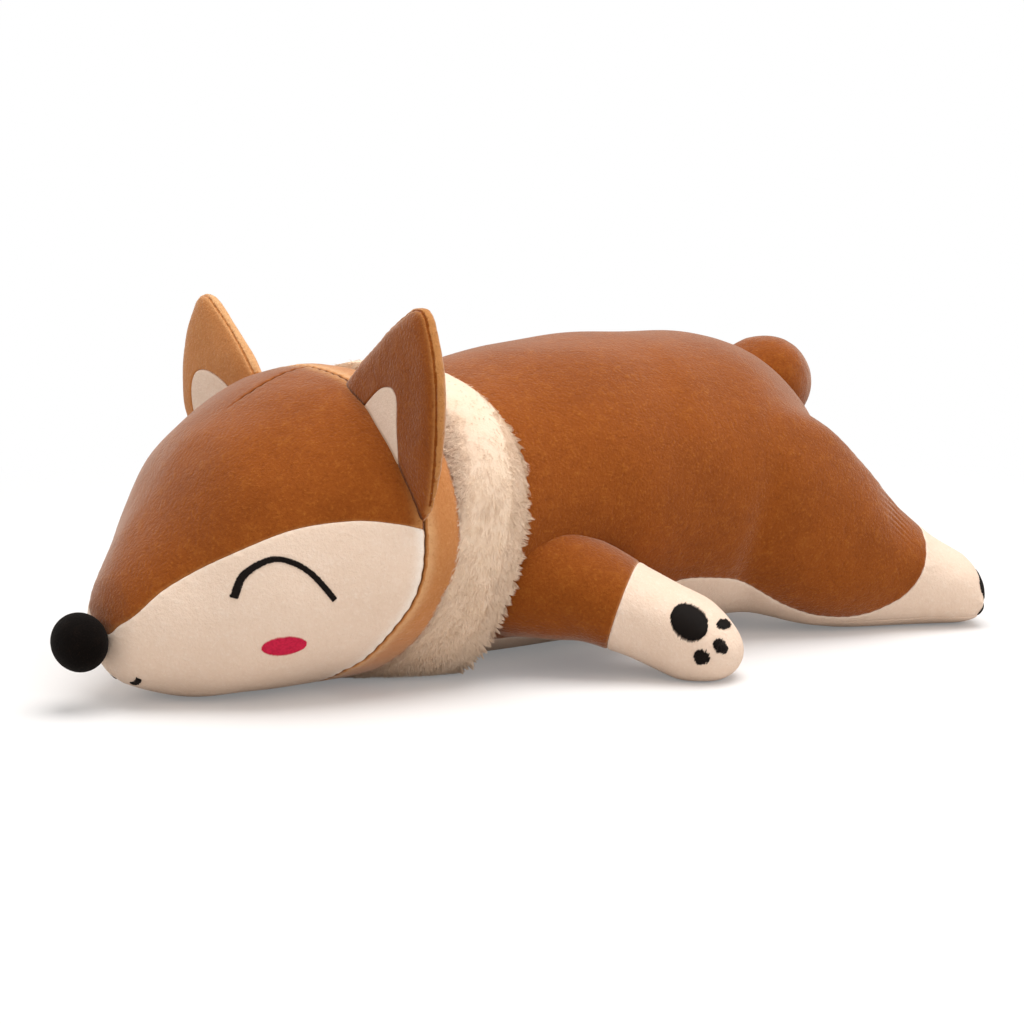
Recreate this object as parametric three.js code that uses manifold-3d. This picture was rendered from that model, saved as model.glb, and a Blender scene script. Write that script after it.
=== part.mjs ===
// Plush fox pillow lying on its belly, head forward, arms spread and hind legs stretched back.
// Millimetres. X runs from the nose to the tail, the fox's left is -Y, Z is up and the floor is z = 0.
// Every form is lofted lengthwise, split into its sewn panels along the seams, and filled with a
// separate body of fibre. Forms that rest on the floor are cut flat there.

import * as THREE from 'three';
import { mergeVertices } from 'three/addons/utils/BufferGeometryUtils.js';
import Module from 'manifold-3d';

const wasm = await Module();
wasm.setup();

const LEFT = -1;
const RIGHT = 1;
const DEG = Math.PI / 180;

// Cloth, seams and running gaps
const skin = 2;
const gap = 0.35;
const seam = 0.3;
const padThickness = 0.9;
const restCut = 2;

// Head, measured from the plane of the ear seam: +s points to the nose
const earPlaneX = -111;
const neckX = -72;
const headTurn = 6;
const headWidth = 197;
const headHeight = 157;
const cheekLevel = 78;
const snoutReach = 125;
const snoutTipWidth = 36;
const snoutTipTop = 52;
const snoutTipBottom = 20;
const muzzleReach = 98;
const muzzleWidth = 88;
const muzzleHeight = 88;
const foreheadReach = 62;
const foreheadWidth = 153;
const foreheadHeight = 133;
const backOfHeadWidth = 197;
const backOfHeadDepth = 20;
const neckWidth = 170;
const neckHeight = 142;
const neckLap = 14;
const snoutRound = 8;
const chinReach = 74;
const jawReach = 106;
const jawHeight = 6;
const napeRise = 12;
const noseRadius = 16.5;
const noseLength = 29;

// Torso
const shoulderX = -30;
const ribX = 50;
const torsoBack = 208;
const shoulderWidth = 170;
const shoulderHeight = 156;
const ribWidth = 182;
const backHeight = 167;
const hipX = 122;
const hipWidth = 174;
const hipHeight = 166;
const rumpRound = 90;
const flankLevel = 78;
const bellySeamHeight = 40;

// Fur collar
const collarWidth = 58;
const collarPile = 16;
const collarX = -62;
const collarLean = 4;
const collarSag = 8;

// Ears, rooted on the head between two points given as [out from the middle, height]
const earRootInner = [32, headHeight - 4];
const earRootOuter = [headWidth / 2 + 5, 95];
const earBase = Math.hypot(earRootOuter[0] - earRootInner[0], earRootInner[1] - earRootOuter[1]);
const earSlope = Math.atan2(earRootInner[1] - earRootOuter[1], earRootOuter[0] - earRootInner[0]) / DEG;
const earLength = 73;
const earCup = 4;
const earLeaf = 5;
const earPatchHeight = 33;
const earFold = 20;
const earRootDepth = 4;
const earSoft = 1.6;

// Arms
const armRoot = [-28, 54];
const armAngle = 44;
const armLength = 127;
const armWidth = 60;
const armRootHeight = 71.5;
const armRootBottom = 28;
const elbowAt = 50;
const elbowWidth = 58;
const elbowHeight = 67;
const elbowBottom = 19;
const wristAt = 72;
const wristWidth = 54;
const wristHeight = 56;
const palmAt = 100;
const palmHeight = 45;
const heelAt = 84;
const heelBottom = 3;
const pawWidth = 50;
const pawTipHeight = 30;
const pawRound = 24;
const pawPress = 5;
const cuffAt = 66;
const cuffLevel = 43;
const cuffTilt = 18;
const armHingeHeight = 71.5;
const armLift = 45;
const armHingeSide = 90;
const armFront = -31;
// Pads as [along, height, half length, half height, tilt]: the palm pad, then the toes
const pawPads = [[100, 33, 9.3, 9.5, 10], [116, 32.5, 2.6, 4, -25], [115.5, 23, 3.5, 3.9, 0],
  [106.5, 16.7, 3.5, 4, 20]];
const pawPadInset = 9;

// Hind legs
const legRoot = [96, 40];
const legAngle = 19;
const legLength = 180;
const thighWidth = 88;
const thighHeight = 142;
const thighBottom = 30;
const haunchAt = 46;
const haunchHeight = 134;
const haunchBottom = 18;
const kneeAt = 78;
const kneeWidth = 76;
const kneeHeight = 119;
const shinAt = 110;
const shinHeight = 86;
const ankleAt = 132;
const ankleWidth = 60;
const ankleHeight = 62;
const footWidth = 56;
const footHeight = 31;
const soleRound = 17;
const legRootRound = 50;
const underLegHeight = 6;
const footSeamAt = 92;
// Seam of the brown leg over the cream foot, side view
const legSeam = [[-30, 40], [20, 37.5], [45, 26], [71, 9.3], [95, 3], [111, 6.6], [123, 16.3], [131, 28],
  [139, 46], [141, 62]];
// Pads as [out from the middle, height, half width, half height, tilt]: the sole pad, then the toes
const solePads = [[-1, 19.5, 10, 9.5, 0], [-12, 8, 3.8, 3.4, 10], [-1, 5.5, 4, 3, 0], [10, 8, 3.8, 3.4, -10]];

// Face
const noseSink = 4;
const noseHeight = 33;
// Closed eye, side view, from its front end over the top to its back end
const eyeLine = [[84, 58], [79.3, 69.3], [68, 76.2], [56, 70.8], [44.5, 56]];
const threadWidth = 3;
const blushReach = 63;
const blushHeight = 33.4;
const blushLength = 20;
const blushRise = 10.4;
// End of the mouth under the nose, front view: the middle, the radius and the two ends of its arc
const mouthOut = 10.5;
const mouthHeight = 15.5;
const mouthCurl = 4.8;
const mouthFrom = 190;
const mouthTo = 350;

// Tail
const tailRoot = [190, 0, 131];
const tailLength = 60;
const tailThickness = 54;
const tailPitch = 10;
const tailSwing = 15;

// Colours
const brown = { color: 0xa25a24, roughness: 0.85 };
const brownBack = { color: 0xb06a33, roughness: 0.85 };
const cream = { color: 0xe8cbb4, roughness: 0.9 };
const furWhite = { color: 0xecd1b6, roughness: 1 };
const black = { color: 0x1c120a, roughness: 0.95 };
const blushRed = { color: 0xc32a46, roughness: 0.85 };
const fibre = { color: 0xf2f0ea, roughness: 1 };

// Smooth monotone curve through [x, value] keys, level past both ends
function through(keys, x) {
  const last = keys.length - 1;
  if (x <= keys[0][0]) return keys[0][1];
  if (x >= keys[last][0]) return keys[last][1];
  const slope = (i) => (keys[i + 1][1] - keys[i][1]) / (keys[i + 1][0] - keys[i][0]);
  const tangent = (i) => {
    if (i === 0) return slope(0);
    if (i === last) return slope(last - 1);
    const before = slope(i - 1);
    const after = slope(i);
    return before * after <= 0 ? 0 : (2 * before * after) / (before + after);
  };
  let i = 0;
  while (x > keys[i + 1][0]) i += 1;
  const span = keys[i + 1][0] - keys[i][0];
  const u = (x - keys[i][0]) / span;
  const rise = keys[i + 1][1] - keys[i][1];
  const start = tangent(i) * span;
  const end = tangent(i + 1) * span;
  return keys[i][1] + u * start + u * u * (3 * rise - 2 * start - end)
    + u * u * u * (start + end - 2 * rise);
}

// Closed geometry over rows of points; a row of one point is an apex, a full end row gets a lid
function overRows(rows) {
  const points = [];
  const index = [];
  const first = rows.map((row) => {
    const at = points.length;
    points.push(...row);
    return at;
  });
  const lid = (row, at, turned) => {
    const centre = new THREE.Vector3();
    row.forEach((p) => centre.addScaledVector(p, 1 / row.length));
    points.push(centre);
    row.forEach((p, j) => {
      const next = at + ((j + 1) % row.length);
      index.push(points.length - 1, turned ? next : at + j, turned ? at + j : next);
    });
  };
  for (let i = 0; i < rows.length - 1; i += 1) {
    const count = Math.max(rows[i].length, rows[i + 1].length);
    for (let j = 0; j < count; j += 1) {
      const k = (j + 1) % count;
      const a = first[i] + (rows[i].length > 1 ? j : 0);
      const b = first[i] + (rows[i].length > 1 ? k : 0);
      const c = first[i + 1] + (rows[i + 1].length > 1 ? j : 0);
      const d = first[i + 1] + (rows[i + 1].length > 1 ? k : 0);
      if (a !== b) index.push(a, b, c);
      if (c !== d) index.push(b, d, c);
    }
  }
  const lastRow = rows.length - 1;
  if (rows[0].length > 1) lid(rows[0], first[0], true);
  if (rows[lastRow].length > 1) lid(rows[lastRow], first[lastRow], false);
  const geometry = new THREE.BufferGeometry();
  geometry.setAttribute('position', new THREE.Float32BufferAttribute(
    points.flatMap((p) => [p.x, p.y, p.z]), 3));
  geometry.setIndex(index);
  return geometry;
}

// Stuffed form along local X: half width, top, bottom and widest level follow their keys,
// and the ends close in quarter ellipses. A positive grow is a larger form, a negative one an inset.
function stuffed(form, grow = 0) {
  const { sides, steps, from, to } = form;
  const power = 2 / form.square;
  const rows = [];
  for (let i = 0; i <= steps; i += 1) {
    const u = i / steps;
    const x = from + (to - from) * (0.55 * (1 - Math.cos(Math.PI * u)) / 2 + 0.45 * u);
    const uFrom = form.roundFrom ? Math.max(0, 1 - (x - from) / form.roundFrom) : 0;
    const uTo = form.roundTo ? Math.max(0, 1 - (to - x) / form.roundTo) : 0;
    const close = Math.sqrt(Math.max(0, 1 - uFrom * uFrom)) * Math.sqrt(Math.max(0, 1 - uTo * uTo));
    const level = through(form.level, x);
    const at = x + grow * (uTo - uFrom);
    if (close < 1e-3) {
      rows.push([new THREE.Vector3(at, 0, level)]);
    } else {
      const half = (through(form.half, x) + grow) * close;
      const up = (through(form.top, x) + grow - level) * close;
      const down = (level - through(form.bottom, x) + grow) * close;
      rows.push(Array.from({ length: sides }, (unused, j) => {
        const t = (2 * Math.PI * j) / sides;
        const c = Math.sign(Math.cos(t)) * Math.abs(Math.cos(t)) ** power;
        const s = Math.sign(Math.sin(t)) * Math.abs(Math.sin(t)) ** power;
        return new THREE.Vector3(at, half * c, level + (s > 0 ? up : down) * s);
      }));
    }
  }
  return overRows(rows);
}

// Solid for joining and cutting, from a closed geometry set in place by a matrix
function solidOf(geometry, place = new THREE.Matrix4()) {
  const bare = geometry.clone().applyMatrix4(place);
  bare.deleteAttribute('normal');
  bare.deleteAttribute('uv');
  const merged = mergeVertices(bare, 1e-4);
  return new wasm.Manifold(new wasm.Mesh({
    numProp: 3,
    vertProperties: Float32Array.from(merged.attributes.position.array),
    triVerts: Uint32Array.from(merged.index.array),
  }));
}

// Largest connected body of a solid
function mainBody(solid) {
  return solid.decompose().reduce((a, b) => (b.volume() > a.volume() ? b : a));
}

const fox = new THREE.Group();

// Mesh of a solid with its own material, added under a name
function add(name, solid, look) {
  const { vertProperties, triVerts } = mainBody(solid).getMesh();
  const geometry = new THREE.BufferGeometry();
  geometry.setAttribute('position', new THREE.BufferAttribute(Float32Array.from(vertProperties), 3));
  geometry.setIndex(new THREE.BufferAttribute(Uint32Array.from(triVerts), 1));
  geometry.computeVertexNormals();
  const mesh = new THREE.Mesh(geometry, new THREE.MeshStandardMaterial({ metalness: 0, ...look }));
  mesh.name = name;
  fox.add(mesh);
}

// Box between two corners
function block(a, b, place) {
  const geometry = new THREE.BoxGeometry(b[0] - a[0], b[1] - a[1], b[2] - a[2]);
  geometry.translate((a[0] + b[0]) / 2, (a[1] + b[1]) / 2, (a[2] + b[2]) / 2);
  return solidOf(geometry, place);
}

// Outline in the local XZ plane, extruded along Y from y0 to y1
function sideCut(outline, y0, y1, place = new THREE.Matrix4()) {
  const geometry = new THREE.ExtrudeGeometry(new THREE.Shape(outline),
    { depth: y1 - y0, bevelEnabled: false, curveSegments: 10 });
  const stand = new THREE.Matrix4().makeRotationX(Math.PI / 2).setPosition(0, y1, 0);
  return solidOf(geometry, new THREE.Matrix4().multiplyMatrices(place, stand));
}

// Placing of a local frame: origin, turn about Z and pitch that lifts local X
function placed(x, y, z, turn, pitch = 0) {
  const matrix = new THREE.Matrix4().makeRotationZ(turn * DEG);
  matrix.multiply(new THREE.Matrix4().makeRotationY(-pitch * DEG));
  return matrix.setPosition(x, y, z);
}

// Turn about a line through a point
function turned(point, axis, angle) {
  const back = new THREE.Matrix4().makeTranslation(-point.x, -point.y, -point.z);
  const out = new THREE.Matrix4().makeTranslation(point.x, point.y, point.z);
  const turn = new THREE.Matrix4().makeRotationAxis(axis.clone().normalize(), angle * DEG);
  return out.multiply(turn).multiply(back);
}

const far = 600;
const aboveFloor = block([-far, -far, 0], [far, far, far]);

// Height of the fur over the neck across the collar's width: a plump band that thins to both edges
function collarBulge(base) {
  return [-1, -0.72, 0, 0.72, 1].map((u) => [(u * collarWidth) / 2,
    base + collarPile * (1.2 * Math.sqrt(1 - u * u) - 0.2)]);
}

// Turn that sets the head, whose own X runs to the nose, on the neck
const headPlace = new THREE.Matrix4().makeTranslation(neckX, 0, 0)
  .multiply(new THREE.Matrix4().makeRotationZ(headTurn * DEG))
  .multiply(new THREE.Matrix4().makeTranslation(earPlaneX - neckX, 0, 0))
  .multiply(new THREE.Matrix4().makeRotationZ(Math.PI));

const headForm = {
  sides: 22,
  steps: 12,
  square: 2.1,
  from: earPlaneX - neckX - neckLap,
  to: snoutReach,
  roundTo: snoutRound,
  half: [[earPlaneX - neckX, neckWidth / 2], [-backOfHeadDepth, backOfHeadWidth / 2],
    [0, headWidth / 2], [foreheadReach, foreheadWidth / 2], [muzzleReach, muzzleWidth / 2],
    [snoutReach, snoutTipWidth / 2]],
  top: [[earPlaneX - neckX, neckHeight], [0, headHeight],
    [foreheadReach, foreheadHeight], [muzzleReach, muzzleHeight], [snoutReach, snoutTipTop]],
  bottom: [[earPlaneX - neckX, napeRise], [seam, -restCut], [chinReach, -restCut], [jawReach, jawHeight],
    [snoutReach, snoutTipBottom]],
  level: [[0, cheekLevel], [snoutReach, (snoutTipTop + snoutTipBottom) / 2]],
};

const torsoForm = {
  sides: 20,
  steps: 11,
  square: 2.1,
  from: neckX - neckLap,
  to: torsoBack,
  roundTo: rumpRound,
  half: [[neckX, neckWidth / 2], [shoulderX, shoulderWidth / 2], [ribX, ribWidth / 2],
    [hipX, hipWidth / 2]],
  top: [[neckX, neckHeight], [shoulderX, shoulderHeight], [ribX, backHeight], [hipX, hipHeight]],
  bottom: [[neckX, napeRise], [shoulderX, -restCut]],
  level: [[0, flankLevel]],
};

const armForm = {
  sides: 14,
  steps: 10,
  square: 2.1,
  from: 0,
  to: armLength,
  roundTo: pawRound,
  half: [[0, armWidth / 2], [elbowAt, elbowWidth / 2], [wristAt, wristWidth / 2], [armLength, pawWidth / 2]],
  top: [[0, armRootHeight], [elbowAt, elbowHeight], [wristAt, wristHeight], [palmAt, palmHeight],
    [armLength, pawTipHeight]],
  bottom: [[0, armRootBottom], [elbowAt, elbowBottom], [heelAt, heelBottom], [palmAt, -pawPress],
    [armLength, -pawPress]],
  level: [[0, (armRootHeight + armRootBottom) / 2], [wristAt, wristHeight * 0.57],
    [armLength, pawTipHeight * 0.47]],
};

const legForm = {
  sides: 14,
  steps: 12,
  square: 2.1,
  from: 0,
  to: legLength,
  roundFrom: legRootRound,
  roundTo: soleRound,
  half: [[0, thighWidth / 2], [kneeAt, kneeWidth / 2], [ankleAt, ankleWidth / 2],
    [legLength, footWidth / 2]],
  top: [[0, thighHeight], [haunchAt, haunchHeight], [kneeAt, kneeHeight], [shinAt, shinHeight],
    [ankleAt, ankleHeight], [legLength, footHeight]],
  bottom: [[0, thighBottom], [haunchAt, haunchBottom], [kneeAt, 0], [footSeamAt, -restCut]],
  level: [[0, thighHeight * 0.53], [ankleAt, ankleHeight * 0.47], [legLength, footHeight / 2]],
};

const tailForm = {
  sides: 12,
  steps: 7,
  square: 2,
  from: -tailLength / 2,
  to: tailLength / 2,
  roundFrom: tailLength * 0.62,
  roundTo: tailLength * 0.4,
  half: [[0, tailThickness / 2]],
  top: [[0, tailThickness / 2]],
  bottom: [[0, -tailThickness / 2]],
  level: [[0, 0]],
};

const collarForm = {
  sides: 20,
  steps: 6,
  square: 2.1,
  from: -collarWidth / 2,
  to: collarWidth / 2,
  half: collarBulge(neckWidth / 2),
  top: collarBulge(neckHeight),
  bottom: [[0, -collarSag]],
  level: [[0, flankLevel]],
};

// Flat edge band along a curve in a plane: the curve's points, offset to both sides
function band(points, width) {
  const side = (i, s) => {
    const a = points[Math.max(0, i - 1)];
    const b = points[Math.min(points.length - 1, i + 1)];
    const across = new THREE.Vector2(a.y - b.y, b.x - a.x).normalize();
    return points[i].clone().addScaledVector(across, (s * width) / 2);
  };
  return [...points.map((unused, i) => side(i, 1)), ...points.map((unused, i) => side(i, -1)).reverse()];
}

// Skin, filling and raised layer of one stuffed form set in place
function layers(form, place) {
  const at = (grow) => solidOf(stuffed(form, grow), place);
  return {
    outer: at(0),
    clear: at(seam),
    shell: at(0).subtract(at(-skin)),
    core: at(-skin - gap),
    raised: at(seam + padThickness).subtract(at(seam)),
  };
}

const head = layers(headForm, headPlace);
const torso = layers(torsoForm, new THREE.Matrix4());
const neckPlane = (from, to) => block([from, -far, -far], [to, far, far]);
const aheadOfNeck = neckPlane(-far, neckX - seam / 2);
const behindNeck = neckPlane(neckX + seam / 2, far);

// Side view of the seam between the brown face and the cream cheeks, from the nose back to the neck
const faceSeam = [[snoutReach + 19, 22], [snoutReach, 40.5], [104, 62], [87, 75], [63, 88.4], [35, 93],
  [14, 90.4], [0, 86.5], [-8, 84]];

function buildHead() {
  const seamCurve = new THREE.CatmullRomCurve3(faceSeam.map(([x, z]) => new THREE.Vector3(x, 0, z)));
  const line = seamCurve.getPoints(10).map((p) => new THREE.Vector2(p.x, p.z));
  const lift = (dz) => line.map((p) => new THREE.Vector2(p.x, p.y + dz));
  const between = (edge, end) => sideCut([...edge, new THREE.Vector2(line[line.length - 1].x, end),
    new THREE.Vector2(line[0].x, end)], -far, far, headPlace);
  const above = between(lift(seam / 2), far);
  const below = between(lift(-seam / 2), -far);
  const front = block([seam / 2, -far, -far], [far, far, far], headPlace);
  const back = block([-far, -far, -far], [-seam / 2, far, far], headPlace);
  const leftHalf = block([-far, seam / 2, -far], [far, far, far], headPlace);
  const rightHalf = block([-far, -far, -far], [far, -seam / 2, far], headPlace);
  const noseSeat = solidOf(noseShape(seam), headPlace);
  const shell = head.shell.intersect(aboveFloor).intersect(aheadOfNeck).subtract(noseSeat);
  add('face_panel', shell.intersect(front).intersect(above), brown);
  add('cheek_left', shell.intersect(front).intersect(below).intersect(leftHalf), cream);
  add('cheek_right', shell.intersect(front).intersect(below).intersect(rightHalf), cream);
  add('head_back_panel', shell.intersect(back), brownBack);
  add('head_filling', head.core.intersect(aheadOfNeck).subtract(noseSeat), fibre);
  add('nose', solidOf(noseShape(0), headPlace), black);
}

// Nose: a slightly flattened ball, sewn over the tip of the snout
function noseShape(grow) {
  const ball = new THREE.SphereGeometry(1, 12, 9);
  ball.scale(noseLength / 2 + grow, noseRadius + grow, noseRadius * 0.94 + grow);
  ball.translate(snoutReach + noseLength / 2 - noseSink, 0, noseHeight);
  return ball;
}

// Points of an arc between two angles
function arc(cx, cy, radius, from, to, count) {
  return Array.from({ length: count + 1 }, (unused, i) => {
    const t = (from + ((to - from) * i) / count) * DEG;
    return new THREE.Vector2(cx + radius * Math.cos(t), cy + radius * Math.sin(t));
  });
}

// Points of a whole oval
function oval(cx, cy, rx, ry, corners) {
  return Array.from({ length: corners }, (unused, i) => {
    const t = (2 * Math.PI * i) / corners;
    return new THREE.Vector2(cx + rx * Math.cos(t), cy + ry * Math.sin(t));
  });
}

// Closed smiling eye, blush and the ends of the mouth, raised from the face like stitching
function buildFace() {
  const eyeCurve = new THREE.SplineCurve(eyeLine.map(([x, z]) => new THREE.Vector2(x, z)));
  const eye = band(eyeCurve.getPoints(10), threadWidth);
  const blush = oval(blushReach, blushHeight, blushLength / 2, blushRise / 2, 12);
  const smile = band(arc(mouthOut, mouthHeight, mouthCurl, mouthFrom, mouthTo, 6), threadWidth * 0.7);
  [LEFT, RIGHT].forEach((s) => {
    const y = s === LEFT ? [1, far] : [-far, -1];
    const name = s === LEFT ? 'left' : 'right';
    const mouth = endCut(smile.map((p) => new THREE.Vector2(-s * p.x, p.y)), headPlace, muzzleReach);
    add(`eye_${name}`, head.raised.intersect(sideCut(eye, ...y, headPlace)), black);
    add(`blush_${name}`, head.raised.intersect(sideCut(blush, ...y, headPlace)), blushRed);
    add(`mouth_${name}`, head.raised.intersect(mouth).intersect(aboveFloor), black);
  });
}

// Ears: two leaves sewn back to back, with a light patch on the front one, hinged at the head seam.
// The local frame of an ear runs along its root, up to its tip and out of its plane.
function earFrame(s) {
  const slope = earSlope * DEG;
  const cup = earCup * DEG;
  const along = new THREE.Vector3(Math.sin(cup), -s * Math.cos(slope) * Math.cos(cup),
    -Math.sin(slope) * Math.cos(cup));
  const up = new THREE.Vector3(0, -s * Math.sin(slope), Math.cos(slope));
  const out = new THREE.Vector3().crossVectors(along, up);
  const basis = new THREE.Matrix4().makeBasis(along, up, out)
    .setPosition(0, -s * earRootInner[0], earRootInner[1]);
  return { place: new THREE.Matrix4().multiplyMatrices(headPlace, basis), facing: Math.sign(out.x) };
}

// Outline of an ear in shares of its base and length
function earOutline() {
  const at = (u, v) => [u * earBase, v * earLength];
  const root = -earRootDepth / earLength;
  const shape = new THREE.Shape();
  shape.moveTo(...at(0, root));
  shape.lineTo(...at(0.99, root));
  shape.bezierCurveTo(...at(1, 0.34), ...at(0.72, 0.82), ...at(0.425, 0.965));
  shape.quadraticCurveTo(...at(0.3, 1.06), ...at(0.22, 0.9));
  shape.bezierCurveTo(...at(0.13, 0.62), ...at(0.02, 0.2), ...at(0, root));
  return shape;
}

// Outline of the light patch in shares of the ear's base and of its own height
function patchOutline() {
  const at = (u, v) => [u * earBase, v * earPatchHeight];
  const shape = new THREE.Shape();
  shape.moveTo(...at(0.265, 0.06));
  shape.lineTo(...at(0.79, 0.06));
  shape.lineTo(...at(0.52, 0.93));
  shape.quadraticCurveTo(...at(0.46, 1.08), ...at(0.38, 0.91));
  shape.quadraticCurveTo(...at(0.3, 0.6), ...at(0.265, 0.06));
  return shape;
}

function buildEar(s) {
  const name = s === LEFT ? 'left' : 'right';
  const { place, facing } = earFrame(s);
  const leaf = (from, to) => {
    const geometry = new THREE.ExtrudeGeometry(earOutline(), {
      depth: to - from - 2 * earSoft,
      bevelThickness: earSoft,
      bevelSize: earSoft,
      bevelOffset: -earSoft,
      bevelSegments: 1,
      curveSegments: 6,
    });
    geometry.translate(0, 0, facing > 0 ? from + earSoft : earSoft - to);
    return solidOf(geometry, place);
  };
  const hinge = new THREE.Vector3().setFromMatrixPosition(place);
  const axis = new THREE.Vector3().setFromMatrixColumn(place, 0);
  const swing = [-1, -0.5, 0, 0.5, 1].map((k) => solidOf(stuffed(headForm, gap),
    new THREE.Matrix4().multiplyMatrices(turned(hinge, axis, k * earFold), headPlace)));
  const swept = wasm.Manifold.union(swing);
  add(`ear_back_${name}`, leaf(-earLeaf - seam / 2, -seam / 2).subtract(swept), brown);
  add(`ear_front_${name}`, leaf(seam / 2, earLeaf + seam / 2).subtract(swept), brown);
  const patch = new THREE.ExtrudeGeometry(patchOutline(),
    { depth: padThickness, bevelEnabled: false, curveSegments: 4 });
  patch.translate(0, 0, facing > 0 ? earLeaf + seam * 1.5 : -earLeaf - seam * 1.5 - padThickness);
  add(`ear_patch_${name}`, solidOf(patch, place).subtract(swept), cream);
}

// Paw prints: one large pad and three toe pads, raised from the paw by their thread. The cut turns the
// outline of a pad into the space that the pad takes.
function pads(layer, at, cut, name) {
  at.forEach(([x, y, rx, ry, tilt], i) => {
    const outline = oval(0, 0, rx, ry, 9)
      .map((p) => p.rotateAround(new THREE.Vector2(), tilt * DEG).add(new THREE.Vector2(x, y)));
    add(i === 0 ? `${name}_pad` : `${name}_toe_${i}`, layer.intersect(cut(outline)), black);
  });
}

// Outline in the local YZ plane, extruded along X from a station over the end of a form
function endCut(outline, place, from) {
  const geometry = new THREE.ExtrudeGeometry(new THREE.Shape(outline), { depth: far, bevelEnabled: false });
  const stand = new THREE.Matrix4().makeBasis(new THREE.Vector3(0, 1, 0), new THREE.Vector3(0, 0, 1),
    new THREE.Vector3(1, 0, 0)).setPosition(from, 0, 0);
  return solidOf(geometry, new THREE.Matrix4().multiplyMatrices(place, stand));
}

const armPlace = (s) => placed(armRoot[0], s * armRoot[1], 0, s * armAngle);
const legPlace = (s) => placed(legRoot[0], s * legRoot[1], 0, s * legAngle);
const tailPlace = placed(...tailRoot, 0, tailPitch);

function buildArm(s) {
  const name = s === LEFT ? 'left' : 'right';
  const arm = layers(armForm, armPlace(s));
  const hinge = new THREE.Vector3(armRoot[0], s * armHingeSide, armHingeHeight);
  const swing = [0, 0.25, 0.5, 0.75, 1].map((k) => solidOf(stuffed(torsoForm, gap),
    turned(hinge, new THREE.Vector3(1, 0, 0), -s * k * armLift)));
  const swept = wasm.Manifold.union(swing).add(neckPlane(-far, armFront));
  const tilt = new THREE.Matrix4().makeTranslation(cuffAt, 0, cuffLevel)
    .multiply(new THREE.Matrix4().makeRotationY(cuffTilt * DEG));
  const cuffPlace = new THREE.Matrix4().multiplyMatrices(armPlace(s), tilt);
  const cuff = (from, to) => block([from, -far, -far], [to, far, far], cuffPlace);
  const shell = arm.shell.intersect(aboveFloor).subtract(swept);
  add(`arm_sleeve_${name}`, shell.intersect(cuff(-far, -seam / 2)), brown);
  add(`paw_${name}`, shell.intersect(cuff(seam / 2, far)), cream);
  add(`arm_filling_${name}`, arm.core.intersect(aboveFloor).subtract(swept), fibre);
  const outerSide = s === LEFT ? [-far, -pawPadInset] : [pawPadInset, far];
  pads(arm.raised.intersect(aboveFloor), pawPads, (pad) => sideCut(pad, ...outerSide, armPlace(s)),
    `paw_${name}`);
}

function buildLeg(s) {
  const name = s === LEFT ? 'left' : 'right';
  const leg = layers(legForm, legPlace(s));
  const shell = leg.shell.intersect(aboveFloor).subtract(torso.clear);
  const line = legSeam.map(([x, z]) => new THREE.Vector2(x, z));
  const curve = new THREE.SplineCurve(line).getPoints(10);
  const region = (d) => sideCut([...curve.map((p) => new THREE.Vector2(p.x + d, p.y - d)),
    new THREE.Vector2(legSeam[legSeam.length - 1][0] + d, far), new THREE.Vector2(-far, far),
    new THREE.Vector2(-far, legSeam[0][1] - d)], -far, far, legPlace(s));
  const brownSide = shell.intersect(region(-seam / 2));
  const creamSide = shell.subtract(region(seam / 2));
  const upperFoot = (d) => block([footSeamAt + d, -far, underLegHeight + d], [far, far, far], legPlace(s));
  add(`leg_sleeve_${name}`, brownSide, brown);
  add(`foot_${name}`, creamSide.intersect(upperFoot(seam / 2)), cream);
  add(`leg_underside_${name}`, creamSide.subtract(upperFoot(-seam / 2)), cream);
  add(`leg_filling_${name}`, leg.core.subtract(solidOf(stuffed(torsoForm, seam - skin - gap))), fibre);
  pads(leg.raised.intersect(aboveFloor), solePads.map(([y, ...rest]) => [-s * y, ...rest]),
    (pad) => endCut(pad, legPlace(s), legLength - soleRound * 1.5), `foot_${name}`);
}

function buildTorso() {
  const legs = [LEFT, RIGHT].map((s) => solidOf(stuffed(legForm, -skin), legPlace(s)));
  const shell = torso.shell.intersect(aboveFloor).intersect(behindNeck).subtract(legs[0]).subtract(legs[1]);
  const above = block([-far, -far, bellySeamHeight + seam / 2], [far, far, far]);
  const below = block([-far, -far, -far], [far, far, bellySeamHeight - seam / 2]);
  add('back_panel', shell.intersect(above), brown);
  add('belly_panel', shell.intersect(below), cream);
  add('torso_filling', torso.core.intersect(behindNeck), fibre);
  const ring = solidOf(stuffed(collarForm),
    placed(collarX - flankLevel * Math.tan(collarLean * DEG), 0, 0, headTurn / 2, -collarLean));
  add('fur_collar', ring.intersect(aboveFloor).subtract(head.clear).subtract(torso.clear), furWhite);
}

function buildTail() {
  const tail = layers(tailForm, tailPlace);
  const hinge = new THREE.Vector3(tailRoot[0] - tailLength / 2, 0, 0);
  const swing = [-1, -0.5, 0, 0.5, 1].map((k) => solidOf(stuffed(torsoForm, gap),
    turned(hinge, new THREE.Vector3(0, 0, 1), k * tailSwing)));
  const swept = wasm.Manifold.union(swing);
  add('tail_cover', tail.shell.subtract(swept), brown);
  add('tail_filling', tail.core.subtract(swept), fibre);
}

buildHead();
buildFace();
buildTorso();
buildTail();
[LEFT, RIGHT].forEach((s) => {
  buildEar(s);
  buildArm(s);
  buildLeg(s);
});

// The origin lies on the floor under the middle of the fox
const extent = new THREE.Box3().setFromObject(fox);
fox.position.set(-(extent.min.x + extent.max.x) / 2, -(extent.min.y + extent.max.y) / 2, 0);

export default fox;
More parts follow.
